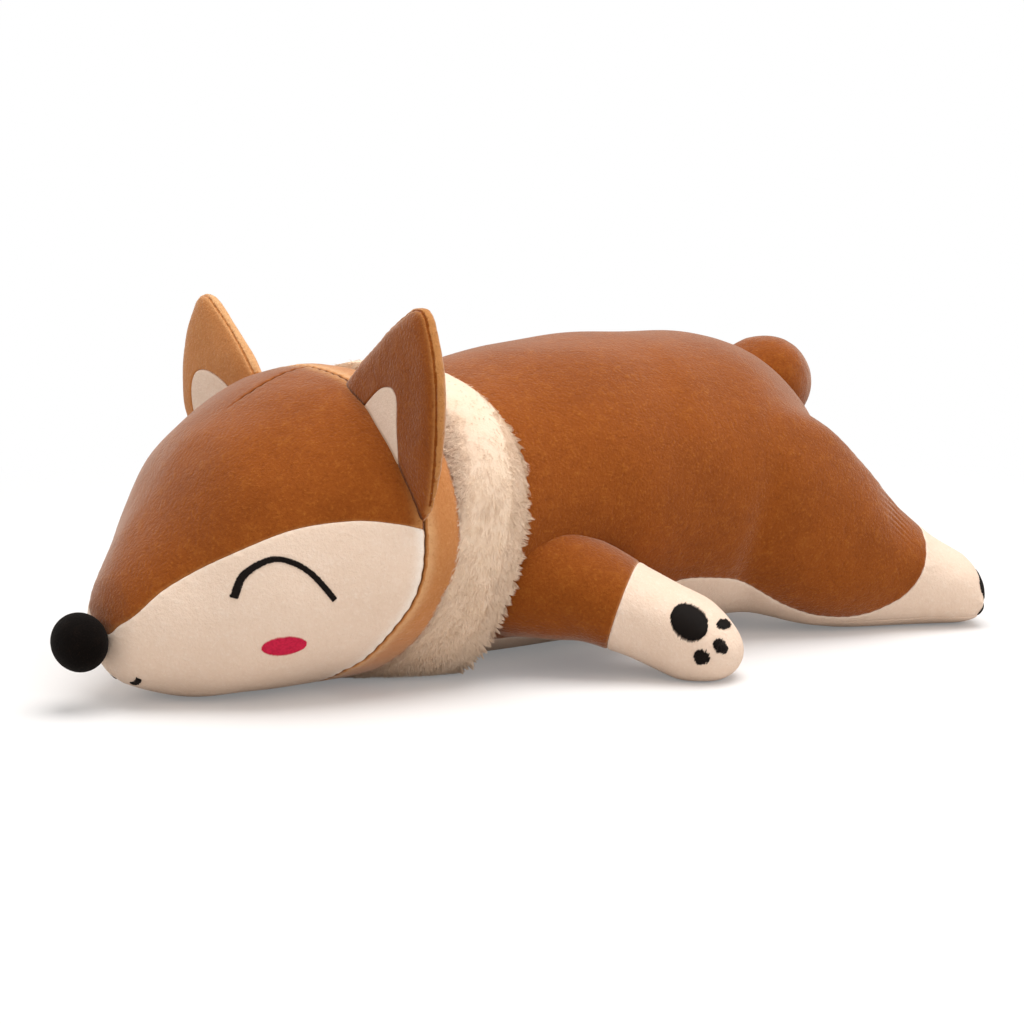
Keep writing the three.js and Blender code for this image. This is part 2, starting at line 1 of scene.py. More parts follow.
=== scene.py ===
"""Plush fox pillow: velvet panels, fur collar and stitched face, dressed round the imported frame.

Shapes are worked out in millimetres in the modelling frame (x from the nose to the tail, the fox's left
is -y, z is up, floor at 0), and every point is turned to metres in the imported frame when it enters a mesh.
"""
import math

import bpy
import numpy as np
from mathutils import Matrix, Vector


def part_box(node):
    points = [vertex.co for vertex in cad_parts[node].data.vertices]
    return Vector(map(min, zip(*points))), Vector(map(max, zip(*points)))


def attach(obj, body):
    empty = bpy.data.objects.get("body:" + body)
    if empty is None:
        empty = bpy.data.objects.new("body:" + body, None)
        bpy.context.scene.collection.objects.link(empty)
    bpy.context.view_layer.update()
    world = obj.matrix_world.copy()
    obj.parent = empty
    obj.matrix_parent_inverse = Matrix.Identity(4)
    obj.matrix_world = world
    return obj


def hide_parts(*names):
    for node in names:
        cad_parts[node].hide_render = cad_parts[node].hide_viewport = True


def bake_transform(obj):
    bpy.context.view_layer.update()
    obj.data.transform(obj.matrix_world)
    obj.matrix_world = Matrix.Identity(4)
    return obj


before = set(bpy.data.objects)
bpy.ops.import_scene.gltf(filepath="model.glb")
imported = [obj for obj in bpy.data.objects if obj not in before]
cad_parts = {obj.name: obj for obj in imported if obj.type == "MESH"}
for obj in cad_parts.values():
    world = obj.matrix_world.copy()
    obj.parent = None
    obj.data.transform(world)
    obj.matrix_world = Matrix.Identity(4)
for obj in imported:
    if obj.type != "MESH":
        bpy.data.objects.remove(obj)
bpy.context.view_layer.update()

MM = 0.001
LEFT, RIGHT = -1, 1
SIDES = {LEFT: "left", RIGHT: "right"}
# A table of points holds their place, their normal and then the piece's own columns, from this one on
OWN = 6

# Places of the local frames, as the solids have them but for the lean of the collar
EAR_PLANE, NECK, HEAD_TURN = -111, -72, 6
ARM_ROOT, ARM_ANGLE = (-28, 54), 44
LEG_ROOT, LEG_ANGLE = (96, 40), 19
TAIL_ROOT, TAIL_PITCH = (190, 0, 131), 10
EAR_ROOT, EAR_ROOT_END, EAR_CUP = (32, 153), (103.5, 95), 4
CUFF_AT, CUFF_HEIGHT, CUFF_TILT = 66, 43, 18
COLLAR_MIDDLE, COLLAR_LEAN = (-66.5, 78), 12


# Places and turns

def move(x, y, z):
    """4x4 matrix of a shift."""
    place = np.eye(4)
    place[:3, 3] = x, y, z
    return place


def turn(axis, degrees):
    """4x4 matrix of a turn about x, y or z."""
    c, s = math.cos(math.radians(degrees)), math.sin(math.radians(degrees))
    a, b = {"x": (1, 2), "y": (2, 0), "z": (0, 1)}[axis]
    place = np.eye(4)
    place[a, a] = place[b, b] = c
    place[b, a], place[a, b] = s, -s
    return place


def put(points, place):
    """Points from a local frame into the modelling frame."""
    return points @ place[:3, :3].T + place[:3, 3]


def local(points, place):
    """Points from the modelling frame into a local one."""
    return (points - place[:3, 3]) @ place[:3, :3]


HEAD = move(NECK, 0, 0) @ turn("z", HEAD_TURN) @ move(EAR_PLANE - NECK, 0, 0) @ turn("z", 180)
ARM = {s: move(ARM_ROOT[0], s * ARM_ROOT[1], 0) @ turn("z", s * ARM_ANGLE) for s in SIDES}
LEG = {s: move(LEG_ROOT[0], s * LEG_ROOT[1], 0) @ turn("z", s * LEG_ANGLE) for s in SIDES}
TAIL = move(*TAIL_ROOT) @ turn("y", -TAIL_PITCH)
COLLAR = (move(COLLAR_MIDDLE[0] - COLLAR_MIDDLE[1] * math.tan(math.radians(COLLAR_LEAN)), 0, 0)
          @ turn("z", HEAD_TURN / 2) @ turn("y", COLLAR_LEAN))
NOSE_MIDDLE = (135.5, 0, 33)

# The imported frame's origin lies under the middle of the box, found here from the nose
nose_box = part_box("nose")
SHIFT = (nose_box[0][0] + nose_box[1][0]) / 2 / MM - put(np.array([NOSE_MIDDLE]), HEAD)[0][0]


# Forms of the stuffed parts

def through(keys, x):
    """Smooth monotone curve through (x, value) keys, level past both ends. On each span it is the cubic
    with the end slopes of the keys, and a key's slope is the harmonic mean of the slopes beside it."""
    at, value = np.array(keys, float).T
    if len(at) == 1:
        return np.full(np.shape(x), value[0])
    x = np.clip(x, at[0], at[-1])
    i = np.clip(np.searchsorted(at, x, side="right") - 1, 0, len(at) - 2)
    slope = np.diff(value) / np.diff(at)
    product = slope[:-1] * slope[1:]
    inner = np.where(product > 0, 2 * product / np.where(product > 0, slope[:-1] + slope[1:], 1), 0)
    tangent = np.concatenate([slope[:1], inner, slope[-1:]])
    span = np.diff(at)[i]
    u, rise = (x - at[i]) / span, np.diff(value)[i]
    start, end = tangent[i] * span, tangent[i + 1] * span
    return value[i] + u * start + u**2 * (3 * rise - 2 * start - end) + u**3 * (start + end - 2 * rise)


def sections(form, x, grow=0):
    """Half width, top, bottom and widest level of a form at the stations x."""
    level = through(form["level"], x)
    return (through(form["half"], x) + grow, through(form["top"], x) + grow,
            through(form["bottom"], x) - grow, level)


def stuffed(form, place, grow=0, around=72, along=48):
    """Closed loft of a stuffed form. At station x and angle t the ring is
    y = half * c, z = level + (top - level or level - bottom) * s, where c and s are cos t and sin t raised
    to 2/square with their signs, and a rounded end shrinks the ring as a quarter ellipse."""
    start, end = form["from"], form["to"]
    u = np.linspace(0, 1, along)
    x = start + (end - start) * (0.75 * (1 - np.cos(np.pi * u)) / 2 + 0.25 * u)
    round_start, round_end = form.get("round_from", 0), form.get("round_to", 0)
    near_start = np.clip(1 - (x - start) / round_start, 0, 1) if round_start else 0 * x
    near_end = np.clip(1 - (end - x) / round_end, 0, 1) if round_end else 0 * x
    close = np.sqrt(1 - near_start**2) * np.sqrt(1 - near_end**2)
    half, top, bottom, level = sections(form, x, grow)
    t = np.linspace(0, 2 * np.pi, around, endpoint=False)
    power = 2 / form.get("square", 2.1)
    c = np.sign(np.cos(t)) * np.abs(np.cos(t)) ** power
    s = np.sign(np.sin(t)) * np.abs(np.sin(t)) ** power
    reach = np.where(s > 0, (top - level)[:, None], (level - bottom)[:, None]) * close[:, None]
    along_x = np.repeat((x + grow * (near_end - near_start))[:, None], around, 1)
    grid = np.stack([along_x, (half * close)[:, None] * c, level[:, None] + reach * s], -1)
    return put(grid, place)


def depth_in(form, place, points):
    """Rough distance from a stuffed form's side wall, negative inside: (norm - 1) times the smaller
    half size, where norm is the superellipse norm of the point in its own section."""
    p = local(points, place)
    half, top, bottom, level = sections(form, np.clip(p[:, 0], form["from"], form["to"]))
    end = np.maximum(p[:, 0] - form["to"], form["from"] - p[:, 0])
    up = np.where(p[:, 2] > level, top - level, level - bottom)
    n = form.get("square", 2.1)
    norm = (np.abs(p[:, 1] / half) ** n + np.abs((p[:, 2] - level) / up) ** n) ** (1 / n)
    return np.maximum((norm - 1) * np.minimum(half, up), end)


HEAD_FORM = {
    "from": -53, "to": 125, "round_to": 8,
    "half": [(-39, 85), (-20, 98.5), (0, 98.5), (62, 76.5), (98, 44), (125, 18)],
    "top": [(-39, 143), (-14, 158.5), (0, 158.5), (62, 133.5), (98, 88), (125, 52)],
    "bottom": [(-39, 12), (0.3, -2), (74, -2), (106, 6), (125, 20)],
    "level": [(0, 78), (125, 36)],
}
TORSO_FORM = {
    "from": -86, "to": 208, "round_to": 90,
    "half": [(-72, 85), (-30, 85), (50, 91), (122, 87)],
    "top": [(-72, 142), (-30, 156), (50, 167), (122, 166)],
    "bottom": [(-72, 12), (-30, -2)],
    "level": [(0, 78)],
}
ARM_FORM = {
    "from": 0, "to": 127, "round_to": 24,
    "half": [(0, 30), (50, 29), (72, 27), (127, 25)],
    "top": [(0, 76), (30, 76), (50, 70.5), (62, 64), (72, 58), (100, 45), (127, 30)],
    "bottom": [(0, 17), (40, 17), (60, 13), (84, 2), (100, -5), (127, -5)],
    "level": [(0, 48), (72, 32), (127, 14)],
}
LEG_FORM = {
    "from": 0, "to": 179, "round_from": 50, "round_to": 11,
    "half": [(0, 44), (78, 38), (132, 30), (180, 28)],
    "top": [(0, 142), (46, 134), (78, 119), (104, 93.5), (120, 73), (133, 66), (149, 53), (164, 44),
            (180, 34)],
    "bottom": [(0, 25), (46, 11), (74, 0), (92, -2)],
    "level": [(0, 75), (132, 29), (180, 15)],
}
TAIL_FORM = {
    "from": -37, "to": 25, "round_from": 36, "round_to": 25, "square": 2,
    "half": [(0, 28)], "top": [(0, 29)], "bottom": [(0, -27)], "level": [(0, 0)],
}


# Making meshes

def lofted(grid):
    """Triangles of a closed loft over rows of rings, with each end ring closed by a fan to its middle."""
    rows, around = grid.shape[:2]
    points = np.concatenate([grid.reshape(-1, 3), grid[[0, -1]].mean(1)])
    ring = np.arange(rows * around).reshape(rows, around)
    a, b = ring[:-1], np.roll(ring[:-1], -1, 1)
    c, d = ring[1:], np.roll(ring[1:], -1, 1)
    first, last = np.full(around, rows * around), np.full(around, rows * around + 1)
    faces = np.concatenate([
        np.stack([a, b, c], -1).reshape(-1, 3), np.stack([b, d, c], -1).reshape(-1, 3),
        np.stack([first, np.roll(ring[0], -1), ring[0]], -1),
        np.stack([last, ring[-1], np.roll(ring[-1], -1)], -1)])
    return points, outward(points, faces)


def outward(points, faces):
    """The faces of a closed mesh, turned so that its volume is positive."""
    a, b, c = (points[faces[:, k]] for k in range(3))
    return faces if np.einsum("ij,ij->i", a, np.cross(b, c)).sum() > 0 else faces[:, ::-1]


def normals_of(points, faces):
    """Unit vertex normals, each face weighted by its area."""
    a, b, c = (points[faces[:, k], :3] for k in range(3))
    face = np.cross(b - a, c - a)
    total = np.stack([sum(np.bincount(faces[:, k], face[:, axis], len(points)) for k in range(3))
                      for axis in range(3)], -1)
    return total / np.maximum(np.linalg.norm(total, axis=1, keepdims=True), 1e-12)


def mesh_piece(name, points, faces, look=None, smooth=True):
    """Blender object from points in millimetres of the modelling frame and faces of equal size. The last own
    column of the points is kept as the attribute seam, which paints seam shade above 0 and paler pile with
    painted sheen below 0."""
    mesh = bpy.data.meshes.new(name)
    packed = (points[:, :3] + [SHIFT, 0, 0]) * MM
    mesh.vertices.add(len(points))
    mesh.vertices.foreach_set("co", packed.astype(np.float32).ravel())
    if len(faces):
        size = faces.shape[1]
        mesh.loops.add(faces.size)
        mesh.loops.foreach_set("vertex_index", faces.astype(np.int32).ravel())
        mesh.polygons.add(len(faces))
        mesh.polygons.foreach_set("loop_start", np.arange(0, faces.size, size, dtype=np.int32))
        mesh.polygons.foreach_set("use_smooth", np.full(len(faces), smooth))
    if points.shape[1] > OWN:
        seam = mesh.attributes.new("seam", "FLOAT", "POINT")
        seam.data.foreach_set("value", points[:, -1].astype(np.float32))
    mesh.update(calc_edges=True)
    piece = bpy.data.objects.new(name, mesh)
    bpy.context.scene.collection.objects.link(piece)
    if look is not None:
        mesh.materials.append(look)
    return piece


def arrays_of(piece):
    """Points in millimetres of the modelling frame and triangles of an object, its modifiers included."""
    graph = bpy.context.evaluated_depsgraph_get()
    mesh = bpy.data.meshes.new_from_object(piece.evaluated_get(graph))
    points = np.empty(3 * len(mesh.vertices), np.float32)
    mesh.vertices.foreach_get("co", points)
    mesh.calc_loop_triangles()
    faces = np.empty(3 * len(mesh.loop_triangles), np.int32)
    mesh.loop_triangles.foreach_get("vertices", faces)
    bpy.data.meshes.remove(mesh)
    return points.reshape(-1, 3).astype(float) / MM - [SHIFT, 0, 0], faces.reshape(-1, 3)


PRESS_BELOW, PRESS_SOFTNESS = 12, 1.6


def on_floor(points):
    """Presses a form on the floor: z becomes (z + sqrt(z*z + softness*softness)) / 2, a soft maximum of z
    and 0, below a height at which the change is too small to show."""
    z = points[:, 2]
    points = points.copy()
    points[:, 2] = np.where(z < PRESS_BELOW, (z + np.sqrt(z * z + PRESS_SOFTNESS**2)) / 2, z)
    return points


def remeshed(points, faces, voxel):
    """Object of a form, remeshed in even squares."""
    bag = mesh_piece("bag", points, faces)
    squares = bag.modifiers.new("squares", "REMESH")
    squares.mode, squares.voxel_size = "VOXEL", voxel * MM
    graph = bpy.context.evaluated_depsgraph_get()
    even = bpy.data.meshes.new_from_object(bag.evaluated_get(graph))
    bag.modifiers.clear()
    bag.data = even
    return bag


CLOTH_FRAMES = 20


def blown_up(points, faces, voxel, cap, pressure=4.0):
    """Cloth bag under the pressure of its filling: the form is remeshed in even squares, its cloth is
    simulated, no point moves further than the cap, and the result is subdivided once. A point's move of
    length d becomes cap * tanh(d / cap)."""
    bag = remeshed(points, faces, voxel)
    even = bag.data
    count = 3 * len(even.vertices)
    before, after = np.empty(count, np.float32), np.empty(count, np.float32)
    even.vertices.foreach_get("co", before)
    cloth = bag.modifiers.new("cloth", "CLOTH")
    cloth.settings.use_pressure = True
    cloth.settings.uniform_pressure_force = pressure
    cloth.settings.effector_weights.gravity = 0
    cloth.settings.bending_stiffness = 2.0
    cloth.collision_settings.use_collision = False
    cloth.point_cache.frame_start, cloth.point_cache.frame_end = 1, CLOTH_FRAMES
    for step in range(1, CLOTH_FRAMES + 1):
        bpy.context.scene.frame_set(step)
    graph = bpy.context.evaluated_depsgraph_get()
    settled = bag.evaluated_get(graph).to_mesh()
    settled.vertices.foreach_get("co", after)
    bag.evaluated_get(graph).to_mesh_clear()
    bag.modifiers.clear()
    step = (after - before).reshape(-1, 3)
    step -= step.mean(0)
    length = np.linalg.norm(step, axis=1, keepdims=True)
    step *= np.tanh(length / (cap * MM)) * cap * MM / np.maximum(length, 1e-9)
    even.vertices.foreach_set("co", before + step.ravel())
    even.update()
    bpy.context.scene.frame_set(1)
    finer = bag.modifiers.new("finer", "SUBSURF")
    finer.levels = finer.render_levels = 1
    result = arrays_of(bag)
    bpy.data.objects.remove(bag)
    return result


def cut(points, faces, column, value=0.0):
    """Adds vertices where a column of the points crosses a value, so that no face straddles it.
    A face with one corner alone on its side is split in three along the straight crossing line."""
    side = points[:, column] - value
    side = np.where(np.abs(side) < 1e-6, 1e-6, side)
    above = side[faces] > 0
    mixed = (above.sum(1) == 1) | (above.sum(1) == 2)
    if not mixed.any():
        return points, faces
    split, over = faces[mixed], above[mixed]
    lone = np.where(over.sum(1) == 1, over.argmax(1), (~over).argmax(1))
    order = (lone[:, None] + np.arange(3)) % 3
    a, b, c = np.take_along_axis(split, order, 1).T
    edges = np.sort(np.concatenate([np.stack([a, b], -1), np.stack([a, c], -1)]), 1)
    unique, which = np.unique(edges, axis=0, return_inverse=True)
    which = which.ravel()
    share = side[unique[:, 0]] / (side[unique[:, 0]] - side[unique[:, 1]])
    new = points[unique[:, 0]] + share[:, None] * (points[unique[:, 1]] - points[unique[:, 0]])
    new[:, column] = value
    ab, ac = len(points) + which[:len(a)], len(points) + which[len(a):]
    faces = np.concatenate([faces[~mixed], np.stack([a, ab, ac], -1),
                            np.stack([ab, b, c], -1), np.stack([ab, c, ac], -1)])
    return np.concatenate([points, new]), faces


def spline(keys, count):
    """Catmull-Rom spline through open keys, at even parameters."""
    keys = np.array(keys, float)
    keys = np.concatenate([[2 * keys[0] - keys[1]], keys, [2 * keys[-1] - keys[-2]]])
    u = np.linspace(0, len(keys) - 3 - 1e-9, count)
    i, f = u.astype(int), (u % 1)[:, None]
    a, b, c, d = (keys[i + k] for k in range(4))
    return catmull_rom(a, b, c, d, f)


def catmull_rom(a, b, c, d, f):
    """The cubic from b at f = 0 to c at f = 1, with the slopes (c - a) / 2 and (d - b) / 2."""
    return 0.5 * (2 * b + (c - a) * f + (2 * a - 5 * b + 4 * c - d) * f**2 + (3 * b - a - 3 * c + d) * f**3)


def beside(curve, x, z, spread=110):
    """Signed distance from a smooth curve in a plane, positive above one that runs to lower x, and the
    place along it. The curve is a spline through its points, measured as short chords."""
    line = spline(curve, spread)
    step = np.diff(line, axis=0)
    length = np.linalg.norm(step, axis=1)
    along = np.concatenate([[0], np.cumsum(length)[:-1]])
    to = np.stack([x, z], -1)[:, None] - line[:-1]
    share = np.clip((to * step).sum(-1) / length**2, 0, 1)
    off = to - share[..., None] * step
    gap = np.linalg.norm(off, axis=-1)
    best = gap.argmin(1)
    rows = np.arange(len(best))
    turn_side = step[best, 0] * off[rows, best, 1] - step[best, 1] * off[rows, best, 0]
    return -np.sign(turn_side) * gap[rows, best], along[best] + share[rows, best] * length[best]


def dip(distance, depth, reach):
    """Depth of the cloth beside a seam: depth * (1 - sqrt(1 - u*u)) with u = 1 - distance/reach, level at
    the reach and steep on the seam line."""
    u = np.clip(1 - np.abs(distance) / reach, 0, 1)
    return depth * (1 - np.sqrt(1 - u * u))


def pucker(distance, along, height, pitch, reach=5.0):
    """Small gathers along a seam: a wave of the place along it that fades with the distance squared."""
    return height * np.cos(2 * np.pi * along / pitch) * np.exp(-((distance / reach) ** 2))


def crease(distance, width=0.8):
    """Share of a band along a seam, for the painted shade in its groove or the paler pile with painted sheen
    beside it: 1 on the line, fading with the distance squared.
    """
    return np.exp(-((distance / width) ** 2))


def lumps(points, size, seed):
    """Smooth random field between about -1 and 1: a sum of 24 plane waves of random direction and phase,
    with lengths near the size."""
    waves = 24
    draw = np.random.default_rng(seed)
    way = draw.normal(size=(waves, 3))
    way /= np.linalg.norm(way, axis=1, keepdims=True)
    wave = way * (2 * np.pi / (size * draw.uniform(0.7, 1.6, waves)))[:, None]
    phase = draw.uniform(0, 2 * np.pi, waves)
    return np.cos(points[:, :3] @ wave.T + phase).sum(1) / math.sqrt(waves) / 1.2


def panel(points, faces, keep, thickness):
    """Cloth panel with a wall: the kept faces, the same faces set inwards, and a rim between their edges.
    Only the edges that one kept face has get a rim. The columns of the points stay beside them."""
    faces = faces[keep]
    used, packed = np.unique(faces, return_inverse=True)
    faces, points = packed.reshape(-1, 3), points[used]
    edges = np.concatenate([faces[:, [0, 1]], faces[:, [1, 2]], faces[:, [2, 0]]])
    key = np.sort(edges, 1) @ np.array([len(points), 1])
    _, place, count = np.unique(key, return_index=True, return_counts=True)
    rim = edges[place[count == 1]]
    inner = points.copy()
    inner[:, :3] -= thickness * points[:, 3:OWN]
    n = len(points)
    walls = np.concatenate([np.stack([rim[:, 1], rim[:, 0], rim[:, 0] + n], -1),
                            np.stack([rim[:, 1], rim[:, 0] + n, rim[:, 1] + n], -1)])
    return np.concatenate([points, inner]), np.concatenate([faces, faces[:, ::-1] + n, walls])


# Finishes

def linear(code):
    """Linear colour from a hex code such as a25a24."""
    parts = [int(code[k:k + 2], 16) / 255 for k in (0, 2, 4)]
    return [(p / 12.92 if p <= 0.04045 else ((p + 0.055) / 1.055) ** 2.4) for p in parts] + [1.0]


class Value:
    """A shader value. It wraps a socket, and its operators add Math nodes."""

    def __init__(self, finish, socket):
        self.finish, self.socket = finish, socket

    def math(self, operation, *inputs):
        return self.finish.node("ShaderNodeMath", {"operation": operation}, dict(enumerate(inputs)))

    def __add__(self, other):
        return self.math("ADD", self, other)

    def __sub__(self, other):
        return self.math("SUBTRACT", self, other)

    def __rsub__(self, other):
        return self.math("SUBTRACT", other, self)

    def __mul__(self, other):
        return self.math("MULTIPLY", self, other)

    __radd__, __rmul__ = __add__, __mul__

    def ramp(self, low, high):
        """0 below low, 1 above high and a smooth step between."""
        return self.finish.node("ShaderNodeMapRange", {"interpolation_type": "SMOOTHSTEP"},
                                {0: self, 1: low, 2: high, 3: 0.0, 4: 1.0})


class Finish:
    """A material or world under construction, with one method that adds any node."""

    def __init__(self, owner):
        self.owner = bpy.data.materials.new(owner) if isinstance(owner, str) else owner
        self.owner.use_nodes = True
        self.tree = self.owner.node_tree
        self.tree.nodes.clear()

    def node(self, kind, settings, inputs, out=0):
        """A new node of a kind with its settings, and with inputs that are numbers, colours or values."""
        node = self.tree.nodes.new(kind)
        for name, value in settings.items():
            setattr(node, name, value)
        for name, value in inputs.items():
            if isinstance(value, Value):
                self.tree.links.new(value.socket, node.inputs[name])
            else:
                node.inputs[name].default_value = value
        return Value(self, node.outputs[out]) if node.outputs else None

    def place(self):
        """Object coordinates, in metres."""
        return self.node("ShaderNodeTexCoord", {}, {}, "Object")

    def attribute(self, name):
        return self.node("ShaderNodeAttribute", {"attribute_name": name}, {}, "Fac")

    def noise(self, size, detail, rough, stretch=None):
        """Noise with features of about the size, in metres, and longer along a stretched axis."""
        at = self.place()
        if stretch:
            at = self.node("ShaderNodeMapping", {}, {"Vector": at, "Scale": stretch})
        return self.node("ShaderNodeTexNoise", {}, {"Vector": at, "Scale": 1 / size, "Detail": detail,
                                                    "Roughness": rough})

    def mix(self, share, first, second):
        """Colour mix; the share is a value or a number."""
        return self.node("ShaderNodeMix", {"data_type": "RGBA"}, {0: share, 6: first, 7: second}, 2)

    def bump(self, height, distance, strength):
        return self.node("ShaderNodeBump", {}, {"Height": height, "Distance": distance,
                                                "Strength": strength}, "Normal")

    def shaded(self, **inputs):
        """Ends the material in a Principled BSDF; keywords are its sockets with _ for a space."""
        named = {key.replace("_", " "): value for key, value in inputs.items()}
        shader = self.node("ShaderNodeBsdfPrincipled", {}, named, "BSDF")
        self.node("ShaderNodeOutputMaterial", {}, {"Surface": shader})
        return self.owner


def velvet(name, base, deep, pale, opened_pile_and_sheen, line, sheen, speckle=0.0015, mottle=1.0):
    """Short cut pile: patches brushed darker and paler, clumps of pile, a speckle of fibre tips and a
    constant sheen. Where the attribute seam is above 0 it paints shade, the dark line in the groove of a
    seam; below 0 it paints a paler band of pile brushed open, partly painted sheen."""
    f = Finish(name)
    patches = f.noise(size=0.045, detail=3.0, rough=0.55)
    clumps = f.noise(size=0.006, detail=4.0, rough=0.65)
    tips = f.noise(size=speckle, detail=3.0, rough=0.75)
    seam = f.attribute("seam")
    colour = f.mix(patches.ramp(0.38, 0.66) * (0.35 * mottle), linear(base), linear(deep))
    colour = f.mix(clumps.ramp(0.50, 0.74) * (0.26 * mottle), colour, linear(pale))
    colour = f.mix((1 - clumps).ramp(0.50, 0.74) * (0.28 * mottle), colour, linear(deep))
    # Paler band of pile brushed open beside a seam, partly painted sheen
    colour = f.mix((0 - seam).ramp(0.0, 1.0) * (0.45 + 0.5 * clumps), colour, linear(opened_pile_and_sheen))
    colour = f.mix(tips.ramp(0.52, 0.76) * (0.55 * mottle), colour, linear(pale))
    colour = f.mix((1 - tips).ramp(0.52, 0.76) * (0.60 * mottle), colour, linear(deep))
    # Painted shade: the dark line in the groove of a seam
    colour = f.mix(seam.ramp(0.15, 1.0) * 0.85, colour, linear(line))
    bumps = f.bump(tips * 0.6 + clumps * 0.8, distance=0.0009, strength=0.7)
    return f.shaded(Base_Color=colour, Roughness=0.9, Specular_IOR_Level=0.08, Sheen_Weight=sheen,
                    Sheen_Roughness=0.4, Sheen_Tint=linear("fff0e2"), Normal=bumps)


# Colours of each velvet: base, deep and pale pile, then the paler pile beside a seam, partly painted sheen,
# and the painted shade of a seam line
BROWN = velvet("brown_velvet", "8c4711", "743606", "a96423", "c58b52", "2c1402", sheen=0.58)
# A paler copy of the brown velvet for the nape and the far ear: their pile is brushed up, and its sheen is
# painted into the colour
BROWN_PAINTED_SHEEN = velvet("brown_velvet_brushed_up", "c07d47", "ac6c37", "d19a62", "dcac7b", "4a260a", sheen=0.5)
CREAM = velvet("cream_velvet", "ead0ba", "e1c3aa", "f6e5d6", "f8ecdf", "b08c6c", sheen=0.15, mottle=0.7)
BLACK = velvet("black_velvet", "0a0503", "040201", "1c120c", "1c120c", "020101", sheen=0.02, speckle=0.0009)


def thread(name, base, deep, rough):
    """Embroidery thread: fine plies along the stitch, one thread a little darker than the next."""
    f = Finish(name)
    tone = f.noise(size=0.0011, detail=1.0, rough=0.5)
    plies = f.noise(size=0.00035, detail=2.0, rough=0.6, stretch=(1.0, 1.0, 0.25))
    colour = f.mix(tone.ramp(0.35, 0.7) * 0.6, linear(base), linear(deep))
    return f.shaded(Base_Color=colour, Roughness=rough, Specular_IOR_Level=0.12,
                    Normal=f.bump(plies, distance=0.00015, strength=0.6))


# Thread by the name of its slot
THREAD = {"black_thread": thread("black_thread", "150d08", "080403", 0.6),
          "red_thread": thread("red_thread", "d92a4f", "bb1c3e", 0.7)}


def fur_finish(name, base, deep, pale):
    """Long pile: cream fibre, in locks that are a little warmer or paler."""
    f = Finish(name)
    locks = f.noise(size=0.009, detail=3.0, rough=0.6)
    fibre = f.noise(size=0.0012, detail=2.0, rough=0.6)
    colour = f.mix(locks.ramp(0.35, 0.7) * 0.5, linear(base), linear(deep))
    colour = f.mix(fibre.ramp(0.5, 0.75) * 0.3, colour, linear(pale))
    bumps = f.bump(fibre * 0.6 + locks, distance=0.0010, strength=0.5)
    return f.shaded(Base_Color=colour, Roughness=0.9, Specular_IOR_Level=0.05,
                    Sheen_Weight=0.12, Sheen_Roughness=0.5, Normal=bumps)


FUR = fur_finish("cream_fur", "ead1b8", "e3c7a9", "f0ddc8")


# Pieces

def finished(piece, body, nodes, bend=None):
    """Hides the nodes that a piece stands for. The piece rides on its body, or, given bend, stays where it
    is with its transform baked; the two points of bend are not used."""
    if bend is None:
        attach(piece, body)
    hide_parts(*nodes)
    if bend is not None:
        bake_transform(piece)


def sewn(points, faces, covers, body="torso", bend=None, thickness=1.6):
    """Cuts a form into its panels: for each name, the faces, look, slot and nodes."""
    for name, (keep, look, slot, nodes) in covers.items():
        panels = panel(points, faces, keep, thickness)
        finished(mesh_piece(name, *panels, look), body, nodes, bend)


def with_columns(points, faces, *columns):
    """Points with their normals and further columns beside them, for cutting and for seams."""
    return np.column_stack([points, normals_of(points, faces), *columns])


# Distances from a seam line at which the cloth beside it gets a row of points
SEAM_ROWS = (0, 0.5, -0.5, 1.2, -1.2, 2.4, -2.4)


def cut_all(points, faces, *rows):
    """Adds vertices along each of the values of each own column: first those of the first, and so on."""
    for column, values in enumerate(rows):
        for value in values:
            points, faces = cut(points, faces, OWN + column, value)
    return points, faces


def sink(points, depth):
    """Points moved in along their normals by a depth."""
    points = points.copy()
    points[:, :3] -= points[:, 3:OWN] * depth[:, None]
    return points


def mean_of(points, faces, column):
    """A column's mean over the corners of each face."""
    return points[faces, column].mean(1)


# Head
FACE_SEAM = [(133, 14), (124.2, 35), (121.7, 42.3), (115.6, 50.2), (104.5, 61.8), (87, 75), (63, 88.4),
             (35, 93), (14, 90.4), (0, 86.5), (-8, 84)]
# The dart over the crown runs this far ahead of the ear seam, and the chin seam lies below a height
DART_REACH, DART_FADE, DART_ABOVE, CHIN_BELOW = 52, 14, 90, 60
# Gathers of the ear seam, counted round the head's middle at this height
MIDDLE_OF_HEAD, GATHERS_ROUND_HEAD = 80, 83
# Head seam: how far ahead of the ear plane it lies at each height
HEAD_SEAM = [(14, 22), (18, 18), (23, 15), (31, 12), (39, 9), (49, 4.4), (57, 2), (67, 0.6), (80, 0)]


